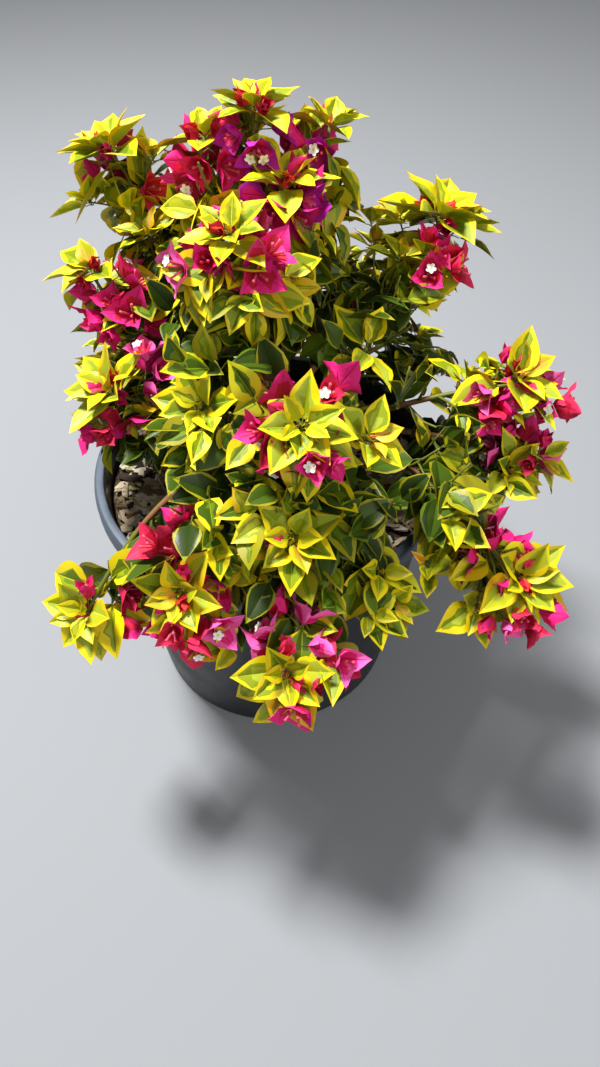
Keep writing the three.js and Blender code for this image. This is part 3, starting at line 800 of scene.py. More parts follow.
def plain_pattern(dice, margin):
    """A shaded leaf has a thin margin, and its tip is all margin."""
    stations = np.array([0.09, 0.27, 0.47, 0.67, 0.86])
    sides = np.array([[-1, -margin, -0.5, 0, 0.5, margin, 1]] * len(stations), float)
    sides[:, (1, 5)] *= dice.uniform(0.9, 1.06, (len(stations), 2))
    half = ["margin", "blotch", "heart"]
    zones = (half + half[::-1]) * len(stations) + ["margin"] * 6
    return blade_pattern(stations, sides, zones)


dice = np.random.default_rng(5)
variegated = [variegated_pattern(dice, share) for share in np.linspace(0.36, 0.86, 18)]
narrow_margined = [plain_pattern(dice, 0.84) for _ in range(6)]
for kind, patterns in (("variegated", variegated), ("shaded", narrow_margined)):
    print("Faces of a", kind, "leaf:", len(patterns[0]["faces"]))


# %% Place a blade
RIPPLE_PACE, RIPPLE_SHIFT = 9, 2.4


def picked(choices, pick):
    """One of the choices, by a random number from 0 to 1."""
    return choices[int(pick * 997) % len(choices)]


def blade_corners(pattern, blade):
    """Corners of a blade that is folded along its midrib, droops, twists, waves and bulges."""
    pose, length, width, shape = (blade[part] for part in ("pose", "length", "width", "shape"))
    place, across = pattern["along"], pattern["across"]
    outline = half_width(place)
    half = width / 2 * outline * across
    bow = shape["droop"] * place
    ahead = length * place * np.sinc(bow / math.pi)
    rise = -length * place * bow / 2 * np.sinc(bow / (2 * math.pi)) ** 2
    ripple = np.sin(place * RIPPLE_PACE + shape["phase"] + RIPPLE_SHIFT * (across < 0))
    lift = abs(half) * math.sin(shape["fold"]) + shape["wave"] * across ** 2 * outline * ripple
    lift += shape["bulge"] * 4 * abs(across) * (1 - abs(across)) * outline
    sideways_out = half * math.cos(shape["fold"])
    twist = shape["twist"] * place
    out = sideways_out * np.cos(twist) - lift * np.sin(twist)
    lift = sideways_out * np.sin(twist) + lift * np.cos(twist)
    forward, upward = ahead + lift * np.sin(bow), rise + lift * np.cos(bow)
    return (pose["root"] + forward[:, None] * pose["along"] + out[:, None] * pose["across"]
            + upward[:, None] * pose["facing"])


# %% [markdown]
# ## Growth
# The rule is the source's, carried on to finer twigs: a stem bears leaves one by one in a spiral of the
# golden angle, side twigs leave it in the same spiral and turn up to the light, and they bear leaves and
# finer twigs of their own. At the stem's tip the leaves crowd into a star. All stars grow first, then the
# bracts, then the other leaves, and a leaf that would come between a head and the light is left out. Each
# shoot has its own stream of random numbers, so it grows the same way every time. One table holds what the
# photograph shows of each shoot: its star's place, its bracts, their tone, its side shoots, and how much
# painted light or painted shade its leaves get. What the table leaves out is the same for all.


# %% Random numbers, as in the source
def random_stream(seed):
    state = seed

    def draw():
        nonlocal state
        state = (state + 0x6D2B79F5) & 0xFFFFFFFF
        mixed = (state ^ (state >> 15)) * (state | 1) & 0xFFFFFFFF
        mixed = ((mixed + ((mixed ^ (mixed >> 7)) * (mixed | 61) & 0xFFFFFFFF)) & 0xFFFFFFFF) ^ mixed
        return (mixed ^ (mixed >> 14)) / 4294967296
    return draw


# %% Directions
GOLDEN_ANGLE = math.pi * (3 - math.sqrt(5))
FACES_STEM, FACES_OUT, TURNS_OUT = 0.35, 0.4, 0.3


def turned(direction, axis, angle):
    return direction * math.cos(angle) + np.cross(axis, direction) * math.sin(angle) + \
        axis * (axis @ direction) * (1 - math.cos(angle))


def sideways(axis, angle):
    start = UP if abs(axis[2]) < 0.95 else np.array([1.0, 0, 0])
    return turned(unit(np.cross(start, axis)), axis, angle)


def from_trunk(point):
    return np.array([point[0], point[1], 0]) / max(math.hypot(point[0], point[1]), 40)


def leaf_pose(root, axis, angle, lean, roll, sag):
    """A leaf leaves its stem at an angle, sags, and turns its upper face to the light and off the stem."""
    side = sideways(axis, angle)
    along = unit(side * math.sin(lean) + axis * math.cos(lean) + from_trunk(root) * TURNS_OUT - UP * sag)
    facing = UP + axis * FACES_STEM + from_trunk(root) * FACES_OUT - side * max(math.cos(lean), 0)
    facing = turned(unit(facing - along * (facing @ along)), along, roll)
    return {"along": along, "facing": facing, "across": np.cross(along, facing)}


# %% What the photograph shows of each shoot
# Each shoot may have a bias of painted light: above zero its leaves take the lit palettes more often, below
# zero the darker ones, as painted shade.
HEADS = {
    "top": {"tip": (-3, 62, 427), "size": 0.95, "sets": 11, "tone": 0.68, "sprays": []},
    "top_left": {"tip": (-32, 62, 412), "size": 0.95, "sets": 11, "tone": 0.62, "sprays": []},
    "top_right": {"tip": (40, 74, 413), "size": 0.9, "sets": 11, "tone": 0.86, "sprays": []},
    "crown_middle": {"sets": 12, "tone": 0.84, "sprays": []},
    "crown_front": {"size": 0.82, "tone": 0.44, "painted_light_bias": 0.05, "sprays": [(-32, -16, 376), (0, -14, 374)]},
    "left_back": {"tip": (-100, 114, 384), "size": 1.2, "leaves": 13, "sets": 6, "tone": 0.6, "painted_light_bias": 0.1,
                  "sprays": [(-102, 118, 364), (-82, 119, 362)],
                  "tufts": [(-72, 114, 379), (-118, 109, 352), (-90, 94, 336), (-74, 66, 351)]},
    "left_high": {"tip": (-111, 50, 337), "size": 1.05, "tone": 0.5,
                  "sprays": [(-89, 41, 322), (-99, 22, 314), (-80, 25, 312)]},
    "left_low": {"tip": (-98, -14, 290), "size": 1.15, "tone": 0.42,
                 "sprays": [(-74, -6, 298), (-103, -28, 270)]},
    "right_back": {"tip": (114, 78, 357), "size": 1.25, "leaves": 13, "sets": 4, "tone": 0.5, "painted_light_bias": -0.12,
                   "sprays": [(106, 58, 343), (114, 48, 333)],
                   "tufts": [(90, 84, 351), (134, 84, 348), (89, 58, 338), (72, 90, 346), (76, 88, 330)]},
    "left_back_low": {"painted_light_bias": 0.1},
    "right_back_low": {"painted_light_bias": -0.2},
    "right_tuft": {"painted_light_bias": -0.1, "glossy": 0.65, "looseness": 0.55},
    "front_high": {"size": 0.9, "tone": 0.55, "sprays": [(40, -72, 328), (6, -96, 320), (27, -108, 320)],
                   "tufts": [(56, -92, 318)]},
    "right": {"tip": (155, -24, 304), "size": 1.15, "sets": 7, "tone": 0.48,
              "sprays": [(150, -6, 296), (174, -28, 288), (138, -32, 286)],
              "tufts": [(100, -46, 262), (130, -8, 290)]},
    "right_edge": {"size": 0.8, "leaves": 4, "painted_light_bias": -0.1, "sprays": [], "tufts": [(156, -50, 250)]},
    "right_front": {"tip": (152, -122, 230), "size": 1.15, "leaves": 12, "tone": 0.52,
                    "sprays": [(148, -94, 226), (140, -138, 214), (158, -140, 214)],
                    "tufts": [(99, -106, 222), (129, -131, 212)]},
    "front": {"tip": (10, -177, 218), "sets": 10, "tone": 0.48,
              "sprays": [(16, -150, 224), (38, -168, 212), (17, -184, 205)]},
    "front_middle": {"sets": 2, "sprays": []},
    "front_left": {"sets": 6, "tone": 0.42, "tufts": [(-20, -160, 222)],
                   "sprays": [(-60, -116, 255), (-45, -111, 260), (-20, -126, 242), (-52, -154, 236),
                              (-38, -155, 236)]},
    "front_left_low": {"tip": (-112, -129, 212), "size": 0.92, "sets": 5, "tone": 0.4,
                       "sprays": [(-92, -123, 210)]},
    "front_right_tuft": {"painted_light_bias": -0.25, "tufts": [(60, -141, 224), (74, -134, 224)]},
}
seen = [HEADS.get(name, {}) for name in names]
print("Side shoots in the table:", sum(len(row.get(kind, [])) for row in seen for kind in ("sprays", "tufts")))

# %% What a shoot bears
SIZE_SMALLEST, SIZE_SPREAD = 0.82, 0.36
FITTING_SIZES, SAMPLE_PLACES = (1, 0.88, 0.76), (0.4, 0.4, 0.7, 1)
LEAF_LENGTH, LEAF_WIDTH, PETIOLE = 32, 22, 6
CROWD, GLOSSY_SIZE = 7, 0.8
leaves, petioles, bracts, tubes, stars, twigs = [], [], [], [], [], []
LEAVES_AT_MOST, FAR = 9000, 1e6
leaf_centres = np.full((LEAVES_AT_MOST, 3), FAR)
bract_middles, shown_places = [], []
STAR_KINDS = ("tip", "young", "star")
CROWN_MIDST, LIGHT_FROM, LIT_SIDE = np.array([0, 20, 190.0]), np.array([10, -380, 585.0]), 120


def leaf_size(draw):
    return SIZE_SMALLEST + SIZE_SPREAD * draw()


def shades_head(centre):
    """Whether a leaf would hang between a star or a set of bracts and the light on its side of the crown."""
    if not shown_places:
        return False
    places, radii = (np.array(part) for part in zip(*shown_places))
    outward = np.where(places[:, 1:2] < LIT_SIDE, LIGHT_FROM - places, places - CROWN_MIDST)
    outward /= np.linalg.norm(outward, axis=1)[:, None]
    offset = centre - places
    ahead = (offset * outward).sum(axis=1)
    beside = np.linalg.norm(offset - ahead[:, None] * outward, axis=1)
    return ((ahead > 2) & (beside < radii)).any()


# %% Grow one leaf
def try_leaf(owner, point, axis, angle, lean, length, kind, draw, shape, petiole=PETIOLE, sag=0.1,
             room=STEM_ROOM):
    """A leaf that finds no room is tried smaller, and then it doesn't grow."""
    if kind == "glossy":
        length *= GLOSSY_SIZE
    pose = leaf_pose(point, axis, angle, lean, (draw() - 0.5) * 0.5, sag)
    for size in FITTING_SIZES:
        long, wide = length * size, length * size * LEAF_WIDTH / LEAF_LENGTH * (0.88 + 0.24 * draw())
        root = point + pose["along"] * petiole
        samples = root + np.outer(SAMPLE_PLACES, pose["along"]) * long
        samples[0] += pose["across"] * wide / 2
        samples[1] -= pose["across"] * wide / 2
        centre = root + pose["along"] * long * 0.45
        share = 0.35 + 0.65 * long / LEAF_LENGTH
        gaps = np.linalg.norm(leaf_centres[:len(leaves)] - centre, axis=1)
        crowded = gaps.min(initial=FAR) < CROWD * share
        if bract_middles and not crowded:
            nearest = np.linalg.norm(np.array(bract_middles) - centre, axis=1).min()
            crowded = nearest < 1.6 * BRACT_CROWD * share
        if not crowded and kind not in STAR_KINDS:
            crowded = shades_head(root + pose["along"] * long * 0.6)
        if not crowded and has_room(owner, samples, room):
            leaf_centres[len(leaves)] = centre
            leaves.append({"owner": owner, "pose": {**pose, "root": root}, "length": long, "width": wide,
                           "kind": kind, "shape": shape, "pick": draw()})
            petioles.append((point, root))
            return


# %% [markdown]
# ### Flower heads
# What looks like the flower is three papery bracts round a stalk. Each bract carries one slender tube, and
# when its tube opens it ends in a white star. The bracts of a young set are small, upright and crimson,
# and older sets open wide and turn magenta. Sets crowd among the star's leaves, and short side shoots bear
# sprays of them, placed where the photograph shows bracts beside a star. Leafy side shoots end in smaller
# stars.

# %% Bract sets
BRACT_LENGTH, BRACT_WIDTH, PEDICEL = 22, 17, 12
BRACT_CROWD, BRACT_SHOWN, OPEN_FLOWER_AGE, OPEN_FLOWERS = 7, 11, 0.55, 0.12


def try_bract_set(owner, point, axis, angle, lean, age, draw):
    out = unit(sideways(axis, angle) * math.sin(lean) + axis * math.cos(lean))
    heart = point + out * PEDICEL * (0.3 + 0.75 * age)
    first = sideways(out, draw() * 2 * math.pi)
    opening = 0.25 + 0.5 * age
    length = BRACT_LENGTH * (0.5 + 0.55 * age)
    tips = np.array([heart + length * out * 0.75, heart + length * out * 0.4])
    middle = heart + out * length * 0.5
    gaps = np.linalg.norm(leaf_centres[:len(leaves)] - middle, axis=1)
    if gaps.min(initial=FAR) < BRACT_CROWD * (0.4 + 0.6 * age) or not has_room(owner, tips, HEAD_ROOM):
        return
    bract_middles.append(middle)
    shown_places.append((middle, BRACT_SHOWN * (0.5 + 0.5 * age)))
    # A shoot's tone picks among its bracts' colours, of which crimson and purple are partly painted shade.
    tone = seen[owner].get("tone", 0.25 + 0.5 * (owner * 0.618 % 1)) + 0.5 * (draw() - 0.5)
    for number in range(3):
        side = turned(first, out, number * 2 * math.pi / 3 + (draw() - 0.5) * 0.5)
        spread = opening + (draw() - 0.5) * 0.3
        along = out * math.cos(spread) + side * math.sin(spread)
        facing = out * math.sin(spread) - side * math.cos(spread)
        pose = {"root": heart, "along": along, "facing": facing, "across": np.cross(along, facing)}
        size = 0.9 + 0.2 * draw()
        shape = {"fold": 0.5 - 0.2 * age, "droop": 0.9 * age - 0.5 + 0.4 * draw(), "wave": 1.2 + 2 * draw(),
                 "bulge": -1.3, "twist": (draw() - 0.5) * 0.8, "phase": draw() * 6}
        bracts.append({"pose": pose, "length": length * size, "shape": shape, "age": age, "tone": tone,
                       "width": length * size * BRACT_WIDTH / BRACT_LENGTH, "pick": draw()})
        tube_along = unit(along + out * 0.6)
        tube_root = heart + facing * 0.8
        tube_end = tube_root + tube_along * length * 0.62
        tubes.append((tube_root + tube_along * 3, tube_end, age))
        if age > OPEN_FLOWER_AGE and draw() < OPEN_FLOWERS:
            stars.append((tube_end, tube_along, draw() * 2))
    petioles.append((point, heart))


# %% Light and shade
CROWN_HEART, CROWN_RADII = np.array([0, 0, 240.0]), np.array([165, 165, 190.0])
BRIGHT_ABOVE, HALF_SHADED_ABOVE = 0.64, 0.5


def kind_at(owner, point, place, draw):
    """Painted light and shade: leaves high up, near the crown's surface and near the shoot's tip get lit
    palettes, and the inmost and lowest get darker ones, partly for their age and partly as painted shade.
    """
    exposure = np.linalg.norm((point - CROWN_HEART) / CROWN_RADII)
    # Painted light and shade: this number stands for how much light reaches this place in the crown, and each
    # shoot's bias in the table of heads lifts or lowers it.
    light = 0.45 * place + 0.7 * exposure + (point[2] - 300) / 500 - 0.12 + (draw() - 0.5) * 0.25
    light += seen[owner].get("painted_light_bias", 0)
    if "glossy" in seen[owner] and draw() < seen[owner]["glossy"]:
        return "glossy"
    return "bright" if light > BRIGHT_ABOVE else ("half_shaded" if light > HALF_SHADED_ABOVE else "shaded")


def loose_shape(draw, fold, droop):
    return {"fold": fold * (0.6 + 0.8 * draw()), "droop": droop * (0.2 + 1.4 * draw()), "wave": 1.5 * draw(),
            "bulge": 0.3 + 0.7 * draw(), "twist": (draw() - 0.5) * 0.45, "phase": draw() * 6}


# %% Heads
TIP_LEAVES, COLLAR_LEAVES = 3, 4
STAR_SHOWN, HALF_SHADED_STARS_BELOW = 21, -0.2


def grow_star(owner, tip, axis, first, leaf_count, size, draw):
    """Small folded leaves stand at the tip, and the lower a leaf of the star sits, the larger and flatter."""
    # Stars of shoots that hang deep in shade get the darker half-shaded palette: painted shade.
    grown = "star" if seen[owner].get("painted_light_bias", 0) > HALF_SHADED_STARS_BELOW else "half_shaded"
    for index in range(TIP_LEAVES):
        try_leaf(owner, tip, axis, first + 0.7 + index * GOLDEN_ANGLE, 0.25 + 0.15 * index, 7 + 3 * index,
                 "tip", draw, loose_shape(draw, 0.9, -0.4), petiole=1, sag=0, room=HEAD_ROOM)
    shown_places.append((tip, STAR_SHOWN * size))
    for index in range(leaf_count):
        share = index / leaf_count
        length = LEAF_LENGTH * (0.56 + 0.48 * share) * (0.92 + 0.16 * draw()) * size
        kind = "young" if share < 0.25 else grown
        try_leaf(owner, tip - axis * 3 * share, axis, first + index * GOLDEN_ANGLE, 0.85 + 0.6 * share,
                 length, kind, draw, loose_shape(draw, 0.38, 0.1), petiole=4, room=HEAD_ROOM)


def grow_collar(owner, tip, axis, first, size, draw):
    """A few full-sized leaves hang over the bracts."""
    for index in range(COLLAR_LEAVES):
        length = LEAF_LENGTH * (0.95 + 0.15 * draw()) * size
        try_leaf(owner, tip - axis * 7, axis, first + 0.9 + index * 1.6, 1.6 + 0.15 * index, length,
                 "star", draw, loose_shape(draw, 0.38, 0.4), petiole=7, sag=0.3, room=HEAD_ROOM)


# %% Bracts and leaves under a star
YOUNG_SETS, SPRAY_SETS, SPRAY_LEAVES, SKIRT_LEAVES = 3, 3, 2, 9


def grow_sets(owner, tip, neck, axis, first, count, draw):
    """The inmost sets of bracts are young and upright. The outer ones hang out between the star's leaves."""
    for index in range(count):
        share = index / count
        young = index < YOUNG_SETS
        down = 0.08 if young else 0.3 + 0.4 * share
        lean = 0.7 + 0.3 * index if young else 1.3 + 0.55 * share
        age = 0.1 + 0.1 * index if young else 0.45 + 0.55 * share
        point = tip + (neck - tip) * down
        try_bract_set(owner, point, axis, first + 0.6 + index * GOLDEN_ANGLE, lean, age, draw)


def grow_spray(owner, root, spray, first, draw):
    """A side shoot ends in a few sets of bracts over two small leaves."""
    out = unit(spray - root)
    for index in range(SPRAY_SETS):
        share = index / SPRAY_SETS
        point, axis = spray - out * (4 + 8 * share), unit(out + UP * 0.4)
        try_bract_set(owner, point, axis, first + index * GOLDEN_ANGLE, 0.3 + 1.1 * share,
                      0.9 - 0.5 * draw(), draw)
    for index in range(SPRAY_LEAVES):
        length = LEAF_LENGTH * (0.75 + 0.25 * draw())
        try_leaf(owner, spray - out * (6 + 3 * index), out, first + 1 + index * 2.1, 1.1, length, "star",
                 draw, loose_shape(draw, 0.45, 0.3), petiole=6, sag=0.2, room=HEAD_ROOM)


def grow_skirt(owner, tip, neck, axis, first, draw):
    """Full-sized leaves hang round the neck of a head."""
    for index in range(SKIRT_LEAVES):
        share = index / SKIRT_LEAVES
        size = 0.95 + 0.25 * draw()
        try_leaf(owner, tip + (neck - tip) * (0.5 + 0.5 * share), axis, first + 1.5 + index * GOLDEN_ANGLE,
                 1.3 + 0.4 * share, LEAF_LENGTH * size, "bright", draw, loose_shape(draw, 0.45, 0.4),
                 petiole=8, sag=0.3 + 0.4 * draw())


# %% Twigs and side shoots
TWIG_LEAVES, SIDE_SHOOT_LEAVES = {1: 7, 2: 5}, 7
side_shoots = []


def stem_point(shoot, place):
    return point_on(shoot["curve"], shoot["starts"] + (1 - shoot["starts"]) * place)


def stem_axis(shoot, place):
    return unit(stem_point(shoot, min(place + 0.01, 1.01)) - stem_point(shoot, place - 0.01))


def grow_twig(owner, root, axis, angle, reach, place, draw, order):
    """A twig of order 1 bears two finer ones of order 2. One that bears no leaf isn't kept."""
    out = unit(sideways(axis, angle) * 0.85 + axis * 0.5)
    elbow = root + out * reach * 0.5
    end = elbow + out * reach * 0.35 + UP * reach * (0.3 - 0.4 * draw())
    if not has_room(owner, np.array([elbow, end])):
        return
    borne = len(leaves)
    twig_axis = unit(end - elbow)
    count = TWIG_LEAVES[order]
    for index in range(count):
        share = 1 - index / count
        point = elbow + (end - elbow) * share if share > 0.4 else root + (elbow - root) * (share + 0.5)
        size = leaf_size(draw) * (0.76 + 0.07 * index)
        kind = kind_at(owner, point, place, draw)
        try_leaf(owner, point, twig_axis, angle + 1 + index * GOLDEN_ANGLE, 0.5 + 0.22 * index,
                 LEAF_LENGTH * size, kind, draw, loose_shape(draw, 0.35, 0.4), sag=0.2 + 0.08 * index)
    if order == 1:
        for number in range(2):
            grow_twig(owner, root + (elbow - root) * (0.5 + 0.4 * number), out, angle + 2.2 + number * 2.4,
                      reach * 0.7, place, draw, 2)
    if len(leaves) > borne:
        line = np.array([root, root * 0.4 + elbow * 0.6, elbow, (elbow + end) / 2, end])
        twigs.append((line, order))


def grow_side_shoot(owner, root, tip, axis):
    rise = unit(axis + UP) * 4
    line = np.array([root, root * 0.65 + tip * 0.35 + rise, root * 0.3 + tip * 0.7 + rise, tip])
    twigs.append((line, 3))
    side_shoots.append((owner, line))


def clothe_side_shoot(owner, line, first, draw):
    for index in range(SIDE_SHOOT_LEAVES):
        share = 0.15 + 0.7 * index / SIDE_SHOOT_LEAVES
        point = np.array([np.interp(share * 3, range(4), part) for part in line.T])
        size = leaf_size(draw)
        kind = kind_at(owner, point, share, draw)
        try_leaf(owner, point, unit(line[-1] - line[0]), first + index * GOLDEN_ANGLE, 1.05,
                 LEAF_LENGTH * size, kind, draw, loose_shape(draw, 0.35, 0.4), sag=0.3 + 0.3 * draw())


# %% Heads and foliage of a shoot
STAR_LEAVES, TUFT_LEAVES, TUFT_SIZE, MAIN_SETS = 10, 8, 0.85, 8
SPRAY_LENGTH, SPRAY_ON, TUFT_ON = 24, (0.75, 0.08), (0.7, 0.1)
STEM_LEAVES, SIDE_TWIGS, SIDE_TWIG_LENGTH = 18, 12, 34
LIGHT_TURN = np.array([-0.1, -0.32, 0])


def plan_head(owner, shoot, draw):
    """A head stands at its stem's tip, or a green twig reaches on to where the photograph shows it."""
    first = draw() * 2 * math.pi
    star, end = seen[owner], stem_point(shoot, 1)
    axis = unit(stem_axis(shoot, 1) * 0.6 + UP + (LIGHT_TURN if end[1] < LIT_SIDE else 0))
    tip = np.array(star.get("tip", end), float)
    if np.linalg.norm(tip - end) > 2:
        twigs.append((np.array([end - stem_axis(shoot, 0.95) * 3, (end + tip) / 2, tip]), 0))
    return {"first": first, "tip": tip, "neck": stem_point(shoot, 0.72), "axis": axis,
            "size": star.get("size", 1), "leaves": star.get("leaves", STAR_LEAVES)}


def grow_flowers(owner, shoot, head, draw):
    first, tip, axis = head["first"], head["tip"], head["axis"]
    for index, place in enumerate(seen[owner].get("tufts", [])):
        place = np.array(place, float)
        root = stem_point(shoot, TUFT_ON[0] - TUFT_ON[1] * index)
        grow_side_shoot(owner, root, place, stem_axis(shoot, 0.7))
        star_axis = unit(unit(place - root) + UP * 1.2)
        grow_star(owner, place, star_axis, first + index, TUFT_LEAVES, TUFT_SIZE, draw)
    if not shoot["flowers"]:
        return
    grow_sets(owner, tip, head["neck"], axis, first, seen[owner].get("sets", MAIN_SETS), draw)
    ways = [unit(sideways(axis, first + 2 + turn * GOLDEN_ANGLE) + UP * 0.2) for turn in range(2)]
    sprays = seen[owner].get("sprays", [tip + way * SPRAY_LENGTH for way in ways])
    for index, place in enumerate(np.array(spray, float) for spray in sprays):
        root = stem_point(shoot, SPRAY_ON[0] - SPRAY_ON[1] * index)
        if has_room(owner, np.array([place]), HEAD_ROOM):
            grow_side_shoot(owner, root, place, stem_axis(shoot, 0.7))
            grow_spray(owner, root, place, first + 3 * index, draw)


def grow_leaves(owner, shoot, head, draw):
    first, looseness = head["first"], seen[owner].get("looseness", 1)
    grow_skirt(owner, head["tip"], head["neck"], head["axis"], first, draw)
    for grown, line in side_shoots:
        if grown == owner:
            clothe_side_shoot(owner, line, first, draw)
    for index in range(round(STEM_LEAVES * looseness)):
        place = 0.05 + 0.7 * index / STEM_LEAVES / looseness
        point, axis = stem_point(shoot, place), stem_axis(shoot, place)
        length = LEAF_LENGTH * 1.08 * leaf_size(draw)
        kind = kind_at(owner, point, place, draw)
        try_leaf(owner, point, axis, first + index * GOLDEN_ANGLE, 1.15, length, kind, draw,
                 loose_shape(draw, 0.3, 0.5), sag=0.4 + 0.4 * draw())
    for index in range(round(SIDE_TWIGS * looseness)):
        place = 0.03 + (0.6 if shoot["flowers"] else 0.8) * index / SIDE_TWIGS / looseness
        reach = SIDE_TWIG_LENGTH * leaf_size(draw)
        grow_twig(owner, stem_point(shoot, place), stem_axis(shoot, place), first + 1 + index * GOLDEN_ANGLE,
                  reach, place, draw, 1)


# %% Grow every shoot
draws = [random_stream(owner + 1) for owner in range(len(names))]
heads = [plan_head(owner, shoots[name], draws[owner]) for owner, name in enumerate(names)]
for owner, head in enumerate(heads):
    grow_star(owner, head["tip"], head["axis"], head["first"], head["leaves"], head["size"], draws[owner])
    if shoots[names[owner]]["flowers"]:
        grow_collar(owner, head["tip"], head["axis"], head["first"], head["size"], draws[owner])
for owner, name in enumerate(names):
    grow_flowers(owner, shoots[name], heads[owner], draws[owner])
for owner, name in enumerate(names):
    grow_leaves(owner, shoots[name], heads[owner], draws[owner])
for kind, grown in (("leaves", leaves), ("bracts", bracts), ("stars", stars), ("twigs", twigs)):
    print(len(grown), kind)

# %% [markdown]
# ## Twigs and stems
# Green stems stay supple for a season and then turn brown from their foot up. Each could be a skinned
# curve, but there are hundreds, so a short function sweeps a ring of corners along each line into a pile.
# One pruned stub stands behind the middle head, with pale wood where it was cut.


# %% Sweep
def sweep(points, radii, sides):
    corners, faces = [], []
    side = sideways(unit(points[1] - points[0]), 0)
    for index, point in enumerate(points):
        axis = unit(points[min(index + 1, len(points) - 1)] - points[max(index - 1, 0)])
        side = unit(side - axis * (side @ axis))
        other = np.cross(axis, side)
        turns = np.arange(sides) / sides * 2 * math.pi
        round_it = np.outer(np.cos(turns), side) + np.outer(np.sin(turns), other)
        corners.append(point + radii[index] * round_it)
    for ring in range(len(points) - 1):
        low = ring * sides
        for corner in range(sides):
            after = (corner + 1) % sides
            faces.append((low + corner, low + after, low + sides + after, low + sides + corner))
    faces.append(tuple(range(sides))[::-1])
    faces.append(tuple(range((len(points) - 1) * sides, len(points) * sides)))
    return np.concatenate(corners), faces


STUB = np.array([(6, -26, 282), (14, -22, 287), (24, -14, 294), (31, -6, 301)], float)
STUB_RADII = (2.1, 2.3, 2.2, 2.4)
TWIG_RADII = [(1.1, 0.9), (1.2, 0.7), (0.85, 0.55), (0.8, 0.55)]
PETIOLE_RADII = (0.5, 0.42, 0.4)
STEM_SIDES, BROWN_RINGS = 8, 3
GREEN, BROWN, CUT = range(3)
twig_pile = Pile()
corners, faces = sweep(STUB, STUB_RADII, 9)
twig_pile.add(corners, faces, [BROWN] * (len(faces) - 1) + [CUT])
for shoot in shoots.values():
    line = shoot["stem"].copy()
    line[0] -= 3 * unit(line[1] - line[0])
    corners, faces = sweep(line, np.linspace(LIMB_END_RADIUS, STEM_TIP_RADIUS, len(line)), STEM_SIDES)
    twig_pile.add(corners, faces, [GREEN if face[0] > BROWN_RINGS * STEM_SIDES else BROWN for face in faces])
for line, order in twigs:
    twig_pile.add(*sweep(line, np.linspace(*TWIG_RADII[order], len(line)), 5), GREEN)
for start, end in petioles:
    line = np.array([start, (start + end) / 2 + UP * 0.5, end])
    twig_pile.add(*sweep(line, PETIOLE_RADII, 3), GREEN)

# %% [markdown]
# ### Finishes of living tissue
# Stems, leaves and bracts have a waxy skin over soft tissue. Light could be traced through them, but
# instead the leaf tones are painted a little lighter than the leaves are, as a painted glow of the light
# that shines through them, and a plain colour with a soft sheen and a fine relief looks much the same from a
# step away. Light could be traced through them, but a plain colour with a soft sheen and a fine relief looks
# much the same from a step away, and it survives the export. One function makes all of these finishes, and
# each says how waxy and how wrinkled it is.


# %% Stem finishes
def leafy_finish(name, colour, roughness=0.45, relief=0.12, pattern=0.9):
    """Living tissue: plain colour, waxy sheen broken by fine relief of pattern mm."""
    return grained_finish(name, colour, {"Roughness": roughness, "IOR": 1.45, "Specular IOR Level": 0.3},
                          {"Scale": 1 / (pattern * MM), "Detail": 2.0}, (0.5, relief),
                          (roughness - 0.1, roughness + 0.12))


stem_finishes = [
    leafy_finish("green_stem_skin", "#6A7126"),
    leafy_finish("browning_stem_skin", "#7D5A34", 0.7),
    leafy_finish("cut_wood_end", "#CDB489", 0.8),
]
finish_piece(twig_pile.piece("twigs"), stem_finishes)

# %% [markdown]
# ### Leaf finishes
# A margin is yellow, lime or olive, a heart is green, and a blotch is grey-green. A painted mask could
# colour them, but plain finishes on strips of faces stay sharp from near by. No two leaves are coloured
# alike, so each kind of leaf has a few palettes, and a random number picks one for each leaf.

# %% Leaf finishes
# Partly painted light: these tones are a little lighter than the leaves, as a painted glow of light shining
# through them.
LEAF_TONES = {
    "pale_leaf_midrib": "#D6CE40",
    "yellow_leaf_margin": "#E0CA0E",
    "golden_leaf_margin": "#DDB61A",
    "lime_leaf_margin": "#CBC41A",
    "olive_leaf_margin": "#968F12",
    "grassy_leaf_blotch": "#A9AC18",
    "fresh_leaf_heart": "#A2AE30",
    "green_leaf_heart": "#86940F",
    "mossy_leaf_heart": "#62780F",
    "dark_green_leaf": "#3F560F",
    "deep_green_leaf": "#2B3D0C",
    "glossy_green_leaf": "#7BA028",
    "amber_young_leaf": "#DB9A36",
    "blushing_young_leaf": "#CB6E4A",
}
SMOOTH_LEAVES = {"dark_green_leaf": 0.38, "deep_green_leaf": 0.38, "glossy_green_leaf": 0.32}
leaf_finishes = [leafy_finish(name, LEAF_TONES[name], SMOOTH_LEAVES.get(name, 0.45)) for name in LEAF_TONES]
tone_numbers = {name.split("_")[0]: number for number, name in enumerate(LEAF_TONES)}
print(len(leaf_finishes), "leaf finishes")
ZONES = ("margin", "heart", "blotch", "vein")
# The half-shaded and shaded palettes are darker copies of the leaf colours: partly older inner leaves, partly
# painted shade.
PALETTES = {
    "bright": ["yellow green mossy grassy", "yellow mossy green grassy", "yellow green grassy green",
               "lime green mossy grassy", "golden green grassy pale", "yellow grassy green lime",
               "lime mossy dark green"],
    "star": ["yellow fresh grassy grassy", "yellow fresh green grassy", "golden grassy fresh pale",
             "yellow green fresh fresh", "lime fresh green grassy", "yellow green mossy fresh"],
    "young": ["yellow grassy green pale", "golden grassy amber golden", "yellow green grassy pale",
              "yellow grassy grassy lime"],
    "half_shaded": ["lime mossy dark green", "olive mossy green green", "olive dark mossy mossy",
                "yellow dark mossy green"],
    "shaded": ["olive deep deep", "mossy dark deep", "olive dark dark"],
    "glossy": ["glossy glossy glossy", "green glossy glossy"],
    "tip": ["golden amber golden", "yellow golden golden", "amber blushing amber", "yellow golden grassy"],
}

